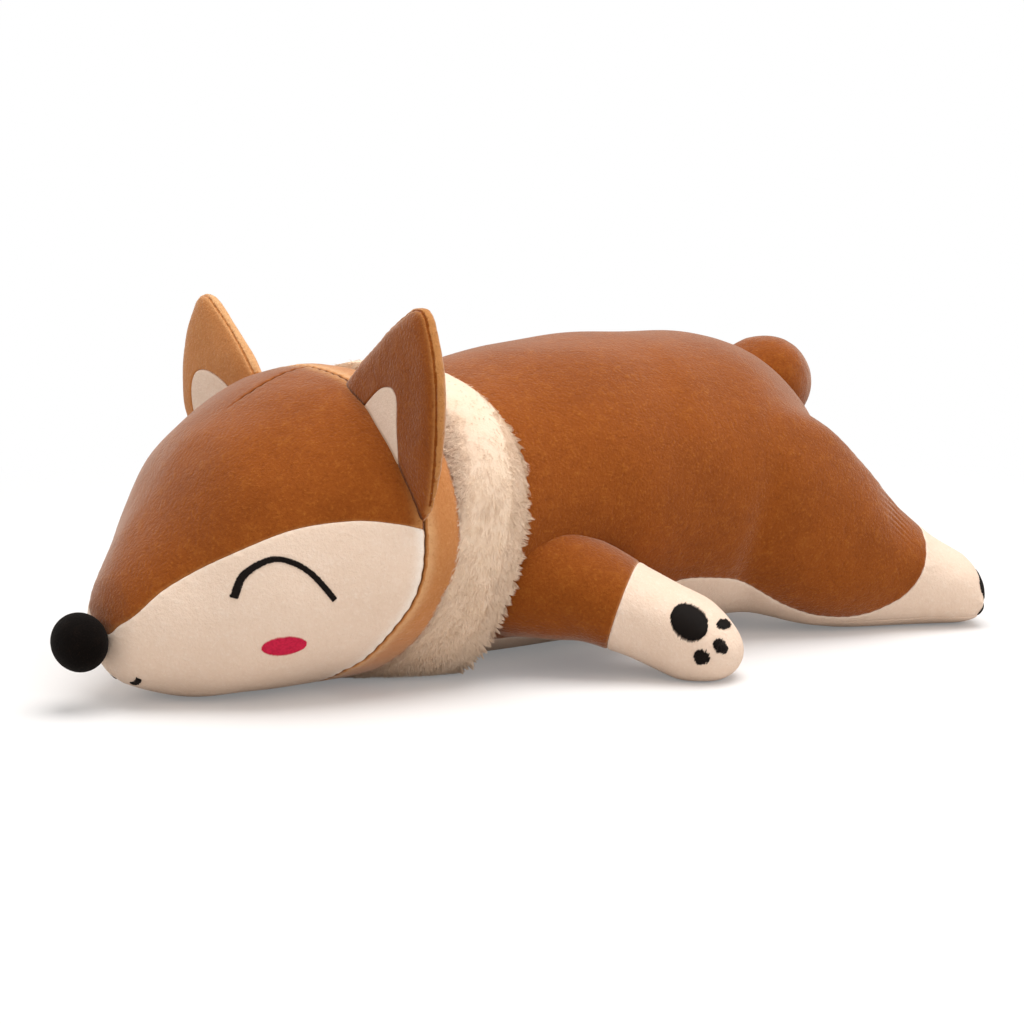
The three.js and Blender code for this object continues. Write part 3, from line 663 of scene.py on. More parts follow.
def build_head():
    """The head in one bag, sunk along its seams and cut into panels there. Own columns: ahead of the ear
    seam, above the face seam, to the fox's left, and along the face seam."""
    rest = stuffed(HEAD_FORM, HEAD, grow=-1.2)
    points, faces = blown_up(*lofted(rest), voxel=5.0, cap=2.0)
    own = local(points, HEAD)
    above, along = beside(FACE_SEAM, own[:, 0], own[:, 2])
    ahead = own[:, 0] - through(HEAD_SEAM, own[:, 2])
    points = with_columns(points, faces, ahead, above, own[:, 1], along)
    points, faces = cut_all(points, faces, (0, 0.7, -0.7, 1.8, -1.8, 3.5, -3.5), SEAM_ROWS,
                            (0, 0.6, -0.6, 1.5, -1.5))
    ahead, above, left, along = points[:, OWN:].T
    own = local(points[:, :3], HEAD)
    around = np.arctan2(own[:, 2] - MIDDLE_OF_HEAD, own[:, 1]) * GATHERS_ROUND_HEAD / (2 * np.pi)
    depth = dip(ahead, depth=1.7, reach=3.0) + pucker(ahead, around, height=0.25, pitch=1)
    in_front = np.clip((ahead + 0.5) / 3, 0, 1)
    depth += in_front * dip(above, depth=0.5, reach=2.0)
    depth += in_front * pucker(above, along, height=0.10, pitch=5.5, reach=4)
    chin = np.clip(-above / 6, 0, 1) * in_front * (own[:, 2] < CHIN_BELOW)
    depth += chin * dip(left, depth=0.8, reach=1.5)
    dart = np.clip((DART_REACH - ahead) / DART_FADE, 0, 1) * in_front * (own[:, 2] > DART_ABOVE)
    depth += dart * dip(left, depth=1.2, reach=2.2)
    depth += dart * pucker(left, ahead, height=0.18, pitch=6, reach=4)
    depth += 0.35 * lumps(points, size=34, seed=3)
    points = on_floor(sink(points, depth))
    # Painted shade: a dark line in the grooves of the ear seam and the dart. Below 0, a paler band of pile
    # brushed open with painted sheen, wide beside the ear seam and narrow beside the face seam
    drawn = crease(ahead) + in_front * dart * crease(left, 0.7)
    opened_pile_and_sheen = crease(ahead, 6) + 0.5 * in_front * crease(above, 0.9)
    points = np.column_stack([points, np.where(drawn > 0.02, drawn, -opened_pile_and_sheen)])
    ahead, above, left = (mean_of(points, faces, OWN + k) for k in range(3))
    front = ahead > 0
    sewn(points, faces, {
        "face_velvet": (front & (above > 0), BROWN, "brown_plush", ["face_panel", "head_filling"]),
        "cheek_velvet_left": (front & (above < 0) & (left > 0), CREAM, "cream_plush", ["cheek_left"]),
        "cheek_velvet_right": (front & (above < 0) & (left < 0), CREAM, "cream_plush", ["cheek_right"]),
        # The nape's velvet is the paler copy, with painted sheen
        "nape_velvet": (~front, BROWN_PAINTED_SHEEN, "brown_light", ["head_back_panel"]),
    })
    return points[:, :3], faces


# Body: the flank seam runs on along the leg and round the foot, in the plane of the leg
LEG_SEAM = [(-150, 14), (-118, 14), (-90, 13.5), (-67, 9.5), (-56, 8.5), (-46, 14), (-32, 30), (-14, 40.5),
            (12, 38.5), (26, 34.8), (40, 27), (52, 19.9), (63, 15), (74, 11.5), (90, 9.5), (103, 11.3),
            (114, 16), (122.3, 21.5), (130, 31), (136, 44), (140, 62), (141, 90)]
SOLE_SEAM_HEIGHT, FOOT_FROM, CALF_FROM = 6, 92, 60
FILLET, THIGH_END, ANKLE = 20, 85, 119
# Folds over the ankle: their slope, their distance and height, and where they lie across the leg
FOLD_SLOPE, FOLD_PITCH, FOLD_HEIGHT, FOLDS_FROM, FOLDS_TO = 0.85, 3.4, 0.28, 48, 82


def build_body():
    """The torso and both hind legs in one bag. Own columns: above the flank seam, height, along the leg,
    along the flank seam, and across the ankle folds."""
    parts = [lofted(stuffed(TORSO_FORM, np.eye(4), grow=-1.2)),
             *(lofted(stuffed(LEG_FORM, LEG[s], grow=-1.2)) for s in SIDES)]
    points = np.concatenate([p for p, _ in parts])
    start = np.cumsum([0] + [len(p) for p, _ in parts[:-1]])
    faces = np.concatenate([f + k for (_, f), k in zip(parts, start)])
    bag = remeshed(points, faces, voxel=5.0)
    points, faces = arrays_of(bag)
    bpy.data.objects.remove(bag)
    # The legs run into the torso: where both walls are near, a smooth union lies further out by
    # fillet/4 * (1 - difference/fillet)^2
    torso = depth_in(TORSO_FORM, np.eye(4), points)
    legs = np.minimum(*(depth_in(LEG_FORM, LEG[s], points) for s in SIDES))
    near = np.clip(1 - np.abs(torso - legs) / FILLET, 0, 1)
    points = points + normals_of(points, faces) * (near**2 * FILLET / 4)[:, None]
    points, faces = blown_up(points, faces, voxel=5.0, cap=3.0)
    side = np.where(points[:, 1] < 0, LEFT, RIGHT)
    own = np.where((side == LEFT)[:, None], local(points, LEG[LEFT]), local(points, LEG[RIGHT]))
    above, along = beside(LEG_SEAM, own[:, 0], own[:, 2], 160)
    # Folds over the ankle run down to the foot, where the calf is drawn in, and none is past the thigh
    folds = np.minimum(own[:, 2] + FOLD_SLOPE * (own[:, 0] - ANKLE),
                       FOLDS_FROM - 1 + 1.5 * (own[:, 0] - THIGH_END))
    points = with_columns(points, faces, -above, points[:, 2], own[:, 0], along, folds)
    points, faces = cut_all(points, faces, SEAM_ROWS)
    # The seam round the sole is on the foot alone, so heights elsewhere are put out of its reach
    foot = np.isin(np.arange(len(points)), np.unique(faces[mean_of(points, faces, OWN + 2) > CALF_FROM]))
    points[~foot, OWN + 1] = 50
    points, faces = cut_all(points, faces, (), [SOLE_SEAM_HEIGHT + k for k in (0, 0.6, -0.6, 1.5)],
                            [FOOT_FROM], (), np.arange(FOLDS_FROM, FOLDS_TO, FOLD_PITCH / 4))
    above, height, reach, along, folds = points[:, OWN:].T
    depth = dip(above, depth=0.6, reach=2.4) + pucker(above, along, height=0.14, pitch=6, reach=4)
    in_foot = (above < 0) & (reach > FOOT_FROM)
    depth += np.where(in_foot, dip(height - SOLE_SEAM_HEIGHT, depth=0.5, reach=1.5), 0)
    on_top = np.clip((folds - FOLDS_FROM - 2) / 14, 0, 1) * np.clip((above - 1) / 5, 0, 1)
    fold = np.exp(-((reach - ANKLE) / 8.0) ** 2) * on_top
    depth += FOLD_HEIGHT * fold * np.cos(2 * np.pi * (folds + 0.8 * np.sin(reach / 5)) / FOLD_PITCH)
    depth += 0.5 * lumps(points, size=45, seed=5)
    points = on_floor(sink(points, depth))
    # Painted shade: a dark line in the groove of the sole seam. Elsewhere, below 0, a paler band of pile
    # brushed open with painted sheen beside the flank seam
    drawn = np.where(in_foot, 0.3 * crease(height - SOLE_SEAM_HEIGHT, 0.5), 0)
    points = np.column_stack([points, np.where(drawn > 0.02, drawn, -0.5 * crease(above, 0.9))])
    above, height, reach = (mean_of(points, faces, OWN + k) for k in range(3))
    left = mean_of(points, faces, 1) < 0
    foot = (above < 0) & (height > SOLE_SEAM_HEIGHT) & (reach > FOOT_FROM)
    sewn(points, faces, {
        "back_velvet": (above > 0, BROWN, "brown_plush",
                        ["back_panel", "torso_filling", "leg_sleeve_left", "leg_sleeve_right",
                         "leg_filling_left", "leg_filling_right"]),
        "belly_velvet": ((above < 0) & ~foot, CREAM, "cream_plush",
                         ["belly_panel", "leg_underside_left", "leg_underside_right"]),
        "foot_velvet_left": (foot & left, CREAM, "cream_plush", ["foot_left"]),
        "foot_velvet_right": (foot & ~left, CREAM, "cream_plush", ["foot_right"]),
    })
    return points[:, :3], faces


# Arms and tail

# Gathers of the cuff, counted round the arm's middle at this height
MIDDLE_OF_ARM, GATHERS_ROUND_CUFF = 23, 30
# Two places across the arm's and the tail's seams on the torso, in metres of the imported frame, given as
# their points of bend
SHOULDER_BEND, SHOULDER_HEIGHT = (0.074, 0.096), 0.0715
TAIL_BEND = [(0.150, 0, 0.131), (0.172, 0, 0.135)]


def build_arm(s):
    """An arm in one bag, cut into sleeve and paw at the cuff. Own columns: beyond and around the cuff."""
    name = SIDES[s]
    rest = stuffed(ARM_FORM, ARM[s], grow=-1.0)
    points, faces = blown_up(*lofted(rest), voxel=4.0, cap=2.0)
    own = local(points, ARM[s])
    tilt = math.radians(CUFF_TILT)
    beyond = (own[:, 0] - CUFF_AT) * math.cos(tilt) - (own[:, 2] - CUFF_HEIGHT) * math.sin(tilt)
    around = np.arctan2(own[:, 2] - MIDDLE_OF_ARM, own[:, 1]) * GATHERS_ROUND_CUFF / (2 * np.pi)
    points = with_columns(points, faces, beyond, around)
    points, faces = cut_all(points, faces, SEAM_ROWS)
    beyond, around = points[:, OWN:].T
    depth = dip(beyond, depth=0.8, reach=2.4) + pucker(beyond, around, height=0.15, pitch=1, reach=4)
    depth += 0.4 * lumps(points, size=30, seed=7 + s)
    points = on_floor(sink(points, depth))
    # Below 0: a paler band of pile brushed open with painted sheen beside the cuff seam
    points = np.column_stack([points, -0.6 * crease(beyond, 1.0)])
    paw = mean_of(points, faces, OWN) > 0
    sleeve_nodes = [f"arm_sleeve_{name}", f"arm_filling_{name}"]
    sewn(points, faces, {f"sleeve_velvet_{name}": (~paw, BROWN, "brown_plush", sleeve_nodes)},
         body=f"arm_{name}", bend=[(0, s * y, SHOULDER_HEIGHT) for y in SHOULDER_BEND])
    sewn(points, faces, {f"paw_velvet_{name}": (paw, CREAM, "cream_plush", [f"paw_{name}"])},
         body=f"arm_{name}")
    return points[:, :3], faces


def build_tail():
    """The tail in one bag, with soft lumps."""
    points, faces = blown_up(*lofted(stuffed(TAIL_FORM, TAIL, grow=-1.0)), voxel=4.0, cap=2.0)
    points = with_columns(points, faces)
    points = sink(points, 0.6 * lumps(points, size=26, seed=11))
    finished(mesh_piece("tail_velvet", points, faces, BROWN), "tail",
             ["tail_cover", "tail_filling"], TAIL_BEND)


NOSE_RADII, NOSE_RISE = (13, 16.2, 14.4), 0.6


def build_nose():
    """Flattened ball: middle + radii * (cos t, sin t * cos a, sin t * sin a)."""
    t = np.linspace(0, np.pi, 40)[:, None]
    a = np.linspace(0, 2 * np.pi, 64, endpoint=False)
    ball = np.stack([np.cos(t) + 0 * a, np.sin(t) * np.cos(a), np.sin(t) * np.sin(a)], -1)
    points, faces = lofted(put(ball * NOSE_RADII + NOSE_MIDDLE + [0, 0, NOSE_RISE], HEAD))
    finished(mesh_piece("nose_velvet", points, faces, BLACK), "torso", ["nose"])


# Ears

def ear_place(s):
    """Frame of an ear: along its root, up to its tip and out of its plane. The cup turns its outer end
    back."""
    out, drop = EAR_ROOT_END[0] - EAR_ROOT[0], EAR_ROOT[1] - EAR_ROOT_END[1]
    slope, cup = math.atan2(drop, out), math.radians(EAR_CUP)
    level = math.cos(cup)
    along = np.array([math.sin(cup), -s * math.cos(slope) * level, -math.sin(slope) * level])
    up = np.array([0, -s * math.sin(slope), math.cos(slope)])
    place = np.eye(4)
    place[:3, 0], place[:3, 1], place[:3, 2] = along, up, np.cross(along, up)
    place[:3, 3] = 0, -s * EAR_ROOT[0], EAR_ROOT[1]
    return HEAD @ place


EAR_BASE = math.dist(EAR_ROOT, EAR_ROOT_END)
# The edge seam lies a little inside the outline, and the leaf thins from the rim's width on
EAR_LENGTH, EAR_THICK, EAR_SEAM, EAR_RIM, EAR_WALL = 75, 11, 1.8, 14, 1.2
EAR_MIDDLE, EAR_BOWL, EAR_BOWL_RADIUS = (0.38 * EAR_BASE, 18), (44, 12), 24
# Low on its outer end the ear is thinned by this share and pulled back, each up to a height
EAR_THINNED, THINNED_UP_TO, EAR_PULL, PULLED_UP_TO = 0.6, 32, 6, 60
# Two heights over the middle of an ear's root, given as its points of bend
EAR_BEND_AT, EAR_BEND = 40, (2, 16)
# The far ear is tucked in at its inner root and stands a little lower
EAR_TUCK = {LEFT: (0, 1), RIGHT: (11, 0.935)}
EAR_PATCH = {
    LEFT: [(24.5, -4), (25, 6), (27, 15), (30.5, 24.5), (36, 30.5), (40.5, 31.5), (44.5, 29.5), (53, 19),
           (62, 7), (68, -4)],
    RIGHT: [(30, -4), (34, 12), (39, 23), (46, 32), (54, 36), (62, 33), (71, 23), (77, 10), (79, -4)],
}


def bezier(points, count):
    """Points of a Bezier curve of any degree at even parameters, by repeated halfway mixing."""
    level = np.repeat(np.array(points, float)[:, None], count, 1)
    u = np.linspace(0, 1, count)[:, None]
    while len(level) > 1:
        level = level[:-1] * (1 - u) + level[1:] * u
    return level[0]


def ear_outline(s):
    """Outline in the plane of the ear from the outer root over the tip to the inner root, in shares of its
    base and length, then moved out at the inner root by the tuck."""
    outer = bezier([(0.99, -0.16), (1, 0.34), (0.72, 0.82), (0.425, 0.965)], 44)
    top = bezier([(0.425, 0.965), (0.3, 1.06), (0.22, 0.9)], 14)
    inner = bezier([(0.22, 0.9), (0.13, 0.62), (0.02, 0.2), (0, -0.16)], 40)
    root = bezier([(0, -0.16), (0.99, -0.16)], 16)
    share = np.concatenate([outer[:-1], top[:-1], inner[:-1], root[:-1]])
    tuck, height = EAR_TUCK[s]
    x = share[:, 0] * EAR_BASE + tuck * (1 - share[:, 1]) * (1 - share[:, 0])
    return np.stack([x, share[:, 1] * EAR_LENGTH * height], -1)


def gap_to(outline, x, y):
    """Distance from a closed outline, positive inside: the nearest chord's distance, with its sign from
    the winding of the outline about the point."""
    step = np.roll(outline, -1, 0) - outline
    to = np.stack([x, y], -1)[:, None] - outline
    share = np.clip((to * step).sum(-1) / np.maximum((step**2).sum(-1), 1e-12), 0, 1)
    gap = np.linalg.norm(to - share[..., None] * step, axis=-1).min(1)
    after = np.roll(to, -1, 1)
    wind = np.arctan2(to[..., 0] * after[..., 1] - to[..., 1] * after[..., 0], (to * after).sum(-1)).sum(1)
    return np.where(np.abs(wind) > np.pi, gap, -gap)


# The far ear's pile is brushed up, and its velvet is the paler copy with that sheen painted in
EAR_LOOK = {LEFT: BROWN, RIGHT: BROWN_PAINTED_SHEEN}


def build_ear(s):
    """An ear in one cushion, cut into velvet and lining. Own columns: inside the edge, inside the patch,
    and out of the front leaf. Half its thickness is thick/2 * sqrt(1 - (1 - gap/rim)^2.6) at a gap inside
    the outline."""
    name = SIDES[s]
    place = ear_place(s)
    facing = -s
    outline = ear_outline(s)
    # Rings shrink from the outline to the middle
    v = np.concatenate([np.sin(np.linspace(0, np.pi / 2, 9)) * 0.05, np.linspace(0.06, 1, 30)[:-1]])
    ring = outline[None] * (1 - v[:, None, None]) + np.array(EAR_MIDDLE) * v[:, None, None]
    gap = np.abs(gap_to(outline, ring[..., 0].ravel(), ring[..., 1].ravel())).reshape(ring.shape[:2])
    half = EAR_THICK / 2 * np.sqrt(1 - np.clip(1 - gap / EAR_RIM, 0, 1) ** 2.6)
    # The leaf thins to the outer end of its root
    outer = np.clip(ring[..., 0] / EAR_BASE - 0.4, 0, 1) / 0.6
    half *= 1 - EAR_THINNED * (outer * np.clip(1 - ring[..., 1] / THINNED_UP_TO, 0, 1))
    front = np.concatenate([ring, half[..., None]], -1)
    back = np.concatenate([ring, -half[..., None]], -1)[1:]
    grid = np.concatenate([front[::-1], back])
    points, faces = blown_up(*lofted(put(grid, place)), voxel=2.6, cap=0.6, pressure=1.0)
    own = local(points, place)
    edge = gap_to(outline, own[:, 0], own[:, 1])
    patch = gap_to(bezier_loop(EAR_PATCH[s]), own[:, 0], own[:, 1])
    out = own[:, 2] * facing
    patch = np.where(out > 0, patch, -30)
    points = with_columns(points, faces, edge, patch, out)
    points, faces = cut_all(points, faces, [EAR_SEAM + k for k in (-0.6, 0, 0.6, 1.6)],
                            (0, 0.5, -0.5, 1.4, -1.4))
    edge, patch, out = points[:, OWN:].T
    own = local(points[:, :3], place)
    on_front = out > 0.5
    depth = np.where(on_front, dip(edge - EAR_SEAM, depth=0.8, reach=1.4), 0)
    depth += np.where(on_front, dip(patch, depth=0.6, reach=1.4), 0)
    # The front is a little hollow, and both leaves are drawn together at the root
    bowl = np.exp(-(((own[:, :2] - EAR_BOWL) / EAR_BOWL_RADIUS) ** 2).sum(1))
    depth += np.where(on_front, 0.2, -1.4) * bowl + 0.3 * lumps(points, size=22, seed=21 + s)
    points = sink(points, depth)
    # The outer end of the root is drawn back to the seam of the head
    outer = np.clip((own[:, 0] / EAR_BASE - 0.4) / 0.6, 0, 1)
    back = EAR_PULL * outer**2 * np.clip(1 - own[:, 1] / PULLED_UP_TO, 0, 1)
    points[:, :3] -= back[:, None] * facing * place[:3, 2]
    # Painted shade on the front: a dark line where the ear meets the head and in the groove of the edge
    # seam. Below 0, a paler rim of pile brushed open with painted sheen
    painted_root_shade = 0.8 * crease(depth_in(HEAD_FORM, HEAD, points[:, :3]) + 0.8, 1.2)
    drawn = np.where(on_front, np.maximum(0.3 * crease(edge - EAR_SEAM, 0.35), painted_root_shade), 0)
    points = np.column_stack([points, np.where(drawn > 0.05, drawn, -crease(edge - 0.5, 2.6))])
    inside = (mean_of(points, faces, OWN + 1) > 0) & (mean_of(points, faces, OWN + 2) > 0)
    bend = put(np.array([(EAR_BEND_AT, k, 0) for k in EAR_BEND]), place) + [SHIFT, 0, 0]
    sewn(points, faces, {
        f"ear_velvet_{name}": (~inside, EAR_LOOK[s], "brown_plush",
                               [f"ear_front_{name}", f"ear_back_{name}"]),
        f"ear_lining_{name}": (inside, CREAM, "cream_plush", [f"ear_patch_{name}"]),
    }, body=f"ear_{name}", bend=[tuple(k) for k in bend * MM], thickness=EAR_WALL)


def bezier_loop(corners, each=8):
    """Closed smooth outline through corners: a Catmull-Rom loop, each span in even steps."""
    p = np.array(corners, float)
    f = (np.arange(each) / each)[:, None, None]
    a, b, c, d = (np.roll(p, 1, 0), p, np.roll(p, -1, 0), np.roll(p, -2, 0))
    return catmull_rom(a, b, c, d, f).transpose(1, 0, 2).reshape(-1, 2)


# Strands and fur

def tubes(centre, across, lift, radius, sides, start_at=0.0):
    """Many closed strands at once, pointed at both ends. The ring about each inner centre point is
    centre + radius * (cos t * across + sin t * lift), from the angle start_at on."""
    count, stations = centre.shape[:2]
    t = start_at + 2 * np.pi * np.arange(sides)[:, None] / sides
    ring = centre[:, 1:-1, None] + radius[..., 1:-1, None, None] * (
        np.cos(t) * across[:, 1:-1, None] + np.sin(t) * lift[:, 1:-1, None])
    points = np.concatenate([centre[:, :1], ring.reshape(count, -1, 3), centre[:, -1:]], 1)
    each = points.shape[1]
    grid = 1 + np.arange((stations - 2) * sides).reshape(-1, sides)
    after = np.roll(grid, -1, 1)
    start, end = np.zeros(sides, int), np.full(sides, each - 1)
    one = np.concatenate([
        np.stack([start, after[0], grid[0]], -1), np.stack([end, grid[-1], after[-1]], -1),
        np.stack([grid[:-1], after[:-1], grid[1:]], -1).reshape(-1, 3),
        np.stack([after[:-1], after[1:], grid[1:]], -1).reshape(-1, 3)])
    faces = (one + each * np.arange(count)[:, None, None]).reshape(-1, 3)
    points = points.reshape(-1, 3)
    return points, outward(points, faces)


def unit(v):
    """Vectors of length one."""
    return v / np.maximum(np.linalg.norm(v, axis=-1, keepdims=True), 1e-9)


# Half width, pile and sag of the collar, and the neck under it
COLLAR_HALF, COLLAR_PILE, COLLAR_SAG = 28, 18, 8
NECK_HALF, NECK_TOP = 84.2, 142.7


def collar_at(u, t, grow):
    """Point of the collar at u across its width, -1 to 1, and angle t round the neck: the neck's ring
    raised by pile * (1.2 * sqrt(1 - |u|^k) - 0.2) and by grow, and pressed flat below. k is 3 ahead, where
    the fur is full against the head, and 2 behind. The ring is a little square above."""
    fullness = np.where(u < 0, 3, 2)
    bulge = COLLAR_PILE * (1.2 * np.sqrt(np.clip(1 - np.abs(u) ** fullness, 0, 1)) - 0.2) + grow
    c, s = np.cos(t), np.sin(t)
    power = np.where(s > 0, 2 / 2.35, 2 / 2.1)
    level = COLLAR_MIDDLE[1]
    up = np.where(s > 0, NECK_TOP + bulge - level, level + COLLAR_SAG + 0.5 * grow)
    y = (NECK_HALF + bulge) * np.sign(c) * np.abs(c) ** power
    z = level + up * np.sign(s) * np.abs(s) ** power
    return np.stack([COLLAR_HALF * u + 0 * t, y, z], -1)


# Pieces of fur, and the strands in each with their length inside the collar and their radius
FUR_PIECES, STRANDS, SHORT_PILE, STRAND_RADIUS = 6, 14000, (2.4, 3.6), (0.14, 0.24)
LOCKS_ACROSS, LOCKS_ROUND, LOCK_KINDS = 13, 200, 4096
BACKING_DEPTH = 2.0


def fur_root_and_way(u, t, wild):
    """Root of a strand on the backing, the normal there, and the way that it lies: flat and down in the
    middle, and out over the nearer edge at the rims."""
    def at(du, dt):
        return collar_at(np.clip(u + du, -1, 1), t + dt, -BACKING_DEPTH - 0.4)

    normal = unit(np.cross(at(0.01, 0) - at(-0.01, 0), at(0, 0.01) - at(0, -0.01)))
    outer = unit(at(0, 0) * [0, 1, 1] - [0, 0, COLLAR_MIDDLE[1]])
    normal *= np.sign((normal * outer).sum(-1) + 1e-9)[:, None]
    rim = rim_share(u, t)[:, None]
    lean = (0.3 * u[:, None] + 0.45 * np.sign(u)[:, None] * rim) * np.array([1.0, 0, 0]) - [0, 0, 0.25]
    return at(0, 0), normal, unit(0.1 * normal + 0.5 * rim * outer + lean + wild)


def rim_share(u, t):
    """0 in the middle of the collar, 1 at its back edge and 0.4 at its front edge. Above, the long pile
    of the back edge starts nearer to the middle."""
    behind = np.clip((u - 0.32 - 0.48 * np.abs(np.cos(t))) / 0.14, 0, 1)
    return np.where(u > 0, behind, 0.4 * np.clip((-u - 0.6) / 0.3, 0, 1))


def fur_strands(k, draw):
    """Strands over one sector of the collar. Each curve runs over v from its root, (1 - v)^2 * root
    + 2v(1 - v) * bend + v^2 * tip, and its tip is drawn towards the tip of its lock."""
    n = STRANDS
    # Half of the strands stand along the two edges
    u = draw.uniform(-0.95, 0.95, n)
    at_rim = draw.uniform(0, 1, n) < 0.5
    u = np.where(at_rim, np.where(u > 0, draw.uniform(0.3, 0.99, n), -draw.uniform(0.6, 0.99, n)), u)
    t = (k + draw.uniform(0, 1, n)) * 2 * np.pi / FUR_PIECES
    # Each strand belongs to a lock, a cell of a warped grid over the collar
    cell_u = np.floor((u + 1) / 2 * LOCKS_ACROSS + 0.35 * np.sin(t * 37))
    cell_t = np.floor(t / (2 * np.pi) * LOCKS_ROUND + 0.35 * np.sin(u * 19))
    number = (cell_u * 977 + cell_t * 131).astype(int) % LOCK_KINDS
    lock = np.random.default_rng(41).normal(size=(LOCK_KINDS, 4))[number]
    lock_u = np.clip((cell_u + 0.5 + 0.2 * lock[:, 0]) * 2 / LOCKS_ACROSS - 1, -1, 1)
    lock_t = (cell_t + 0.5 + 0.2 * lock[:, 1]) * 2 * np.pi / LOCKS_ROUND
    root, normal, way = fur_root_and_way(u, t, 0.07 * draw.normal(size=(n, 3)))
    lock_root, _, lock_way = fur_root_and_way(lock_u, lock_t, 0.25 * lock[:, [2, 3, 0]])
    # The pile is short and even inside, longer and drawn into tufts along both edges
    rim = rim_share(u, t)[:, None]
    length = draw.uniform(*SHORT_PILE, n)[:, None] + rim * (2.7 + 0.8 * lock[:, 1:2])
    drawn = 0.05 + 0.65 * rim
    tip = (1 - drawn) * (root + length * way) + drawn * (lock_root + length * lock_way)
    bend = root + 0.4 * length * unit(normal + way)
    v = np.array([0, 0.06, 0.55, 1.0])[None, :, None]
    line = (1 - v) ** 2 * root[:, None] + 2 * v * (1 - v) * bend[:, None] + v**2 * tip[:, None]
    # Three sides, one of them flat and outwards
    run = unit(np.gradient(line, axis=1))
    across = unit(np.cross(run, unit(normal + 0.07 * draw.normal(size=(n, 3)))[:, None]))
    lift = np.cross(across, run)
    lift *= np.sign((lift * normal[:, None]).sum(-1, keepdims=True))
    width = draw.uniform(*STRAND_RADIUS, (n, 1)) * np.array([0, 1, 0.8, 0])
    points, faces = tubes(line, across, 0.7 * lift, width, 3, np.pi / 6)
    return on_floor(put(points, COLLAR)), faces


def build_collar():
    """The fur collar: a backing with soft lumps, and strands over it in pieces of equal angle."""
    u = np.sin(np.linspace(-np.pi / 2, np.pi / 2, 41))[:, None]
    t = np.linspace(0, 2 * np.pi, 180, endpoint=False)[None]
    points, faces = lofted(put(collar_at(u, t, -BACKING_DEPTH), COLLAR))
    lumpy = 0.2 * lumps(points, size=9, seed=43) + 0.08 * lumps(points, size=4, seed=44)
    points -= normals_of(points, faces) * lumpy[:, None]
    backing = mesh_piece("collar_backing", on_floor(points), faces, FUR)
    finished(backing, "torso", ["fur_collar"])
    draw = np.random.default_rng(40)
    for k in range(FUR_PIECES):
        strands = mesh_piece(f"collar_fur_{k + 1}", *fur_strands(k, draw), FUR, smooth=False)
        finished(strands, "torso", ["fur_collar"])


# Embroidery

def seated(spots, axis, sense, place, target):
    """Spots of a local frame carried along one of its axes on to a surface, from outside."""
    form = mesh_piece("form", local(target[0], place), target[1])
    lay = mesh_piece("lay", spots, np.empty((0, 3), int))
    wrap = lay.modifiers.new("wrap", "SHRINKWRAP")
    wrap.target, wrap.wrap_method = form, "PROJECT"
    wrap.use_project_x, wrap.use_project_y, wrap.use_project_z = (axis == k for k in range(3))
    wrap.use_negative_direction, wrap.use_positive_direction = sense < 0, sense > 0
    found, _ = arrays_of(lay)
    bpy.data.objects.remove(lay)
    bpy.data.objects.remove(form)
    return found


# A stitch starts this far out from the middle plane, and one that stays beyond the second value met no
# cloth and is left out. Two more spots at a short step from each one give the slope of the cloth.
LAID_FROM, NOT_MET, SLOPE_STEP = 300.0, 250, 0.4
THREAD_RADIUS, THREAD_STATIONS = 0.27, 9


def stitches(name, starts, ends, axis, side, place, target, slot, body, node, lift=0.55):
    """Satin stitches between start and end points of a plane, laid on the cloth. Along a thread, v runs
    from -1 to 1 and its middle line lies above the cloth by lift * sqrt(1 - v^4), and below it at the
    ends."""
    v = np.linspace(-1, 1, THREAD_STATIONS)[:, None]
    flat = (starts + ends)[:, None] / 2 + v * (ends - starts)[:, None] / 2
    plane = np.stack([flat, flat + [SLOPE_STEP, 0], flat + [0, SLOPE_STEP]])
    spots = np.insert(plane, axis, side * LAID_FROM, axis=-1)
    found = seated(spots.reshape(-1, 3), axis, -side, place, target).reshape(spots.shape)
    found = found[:, (np.abs(found[..., axis]) < NOT_MET).all(axis=(0, 2))]
    base = found[0]
    normal = unit(np.cross(found[1] - base, found[2] - base))
    normal *= np.sign(normal[..., axis] * side)[..., None]
    run = unit(np.gradient(base, axis=1))
    across = unit(np.cross(normal, run))
    height = lift * np.sqrt(np.clip(1 - v**4, 0, 1)) - 0.15
    wide = THREAD_RADIUS * np.sqrt(np.clip(1 - v[:, 0] ** 8, 0.02, 1))
    points, faces = tubes(base + height * normal, across, normal, np.broadcast_to(wide, base.shape[:2]), 6)
    finished(mesh_piece(name, put(points, place), faces, THREAD[slot]), body, [node])


def along_path(path, width, slant, spacing, draw):
    """Starts and ends of stitches across a path, at even steps along it and slanted from its normal."""
    step = np.diff(path, axis=0)
    length = np.concatenate([[0], np.cumsum(np.linalg.norm(step, axis=1))])
    at = np.arange(0, length[-1], spacing)
    middle = np.stack([np.interp(at, length, path[:, k]) for k in (0, 1)], -1)
    run = unit(np.gradient(middle, axis=0))
    across = np.stack([-run[:, 1], run[:, 0]], -1)
    reach = (width / 2 + draw.normal(0, 0.09, (2, len(at), 1)))
    lean = math.tan(math.radians(slant)) * width / 2 * run
    return middle - reach[0] * across - lean, middle + reach[1] * across + lean


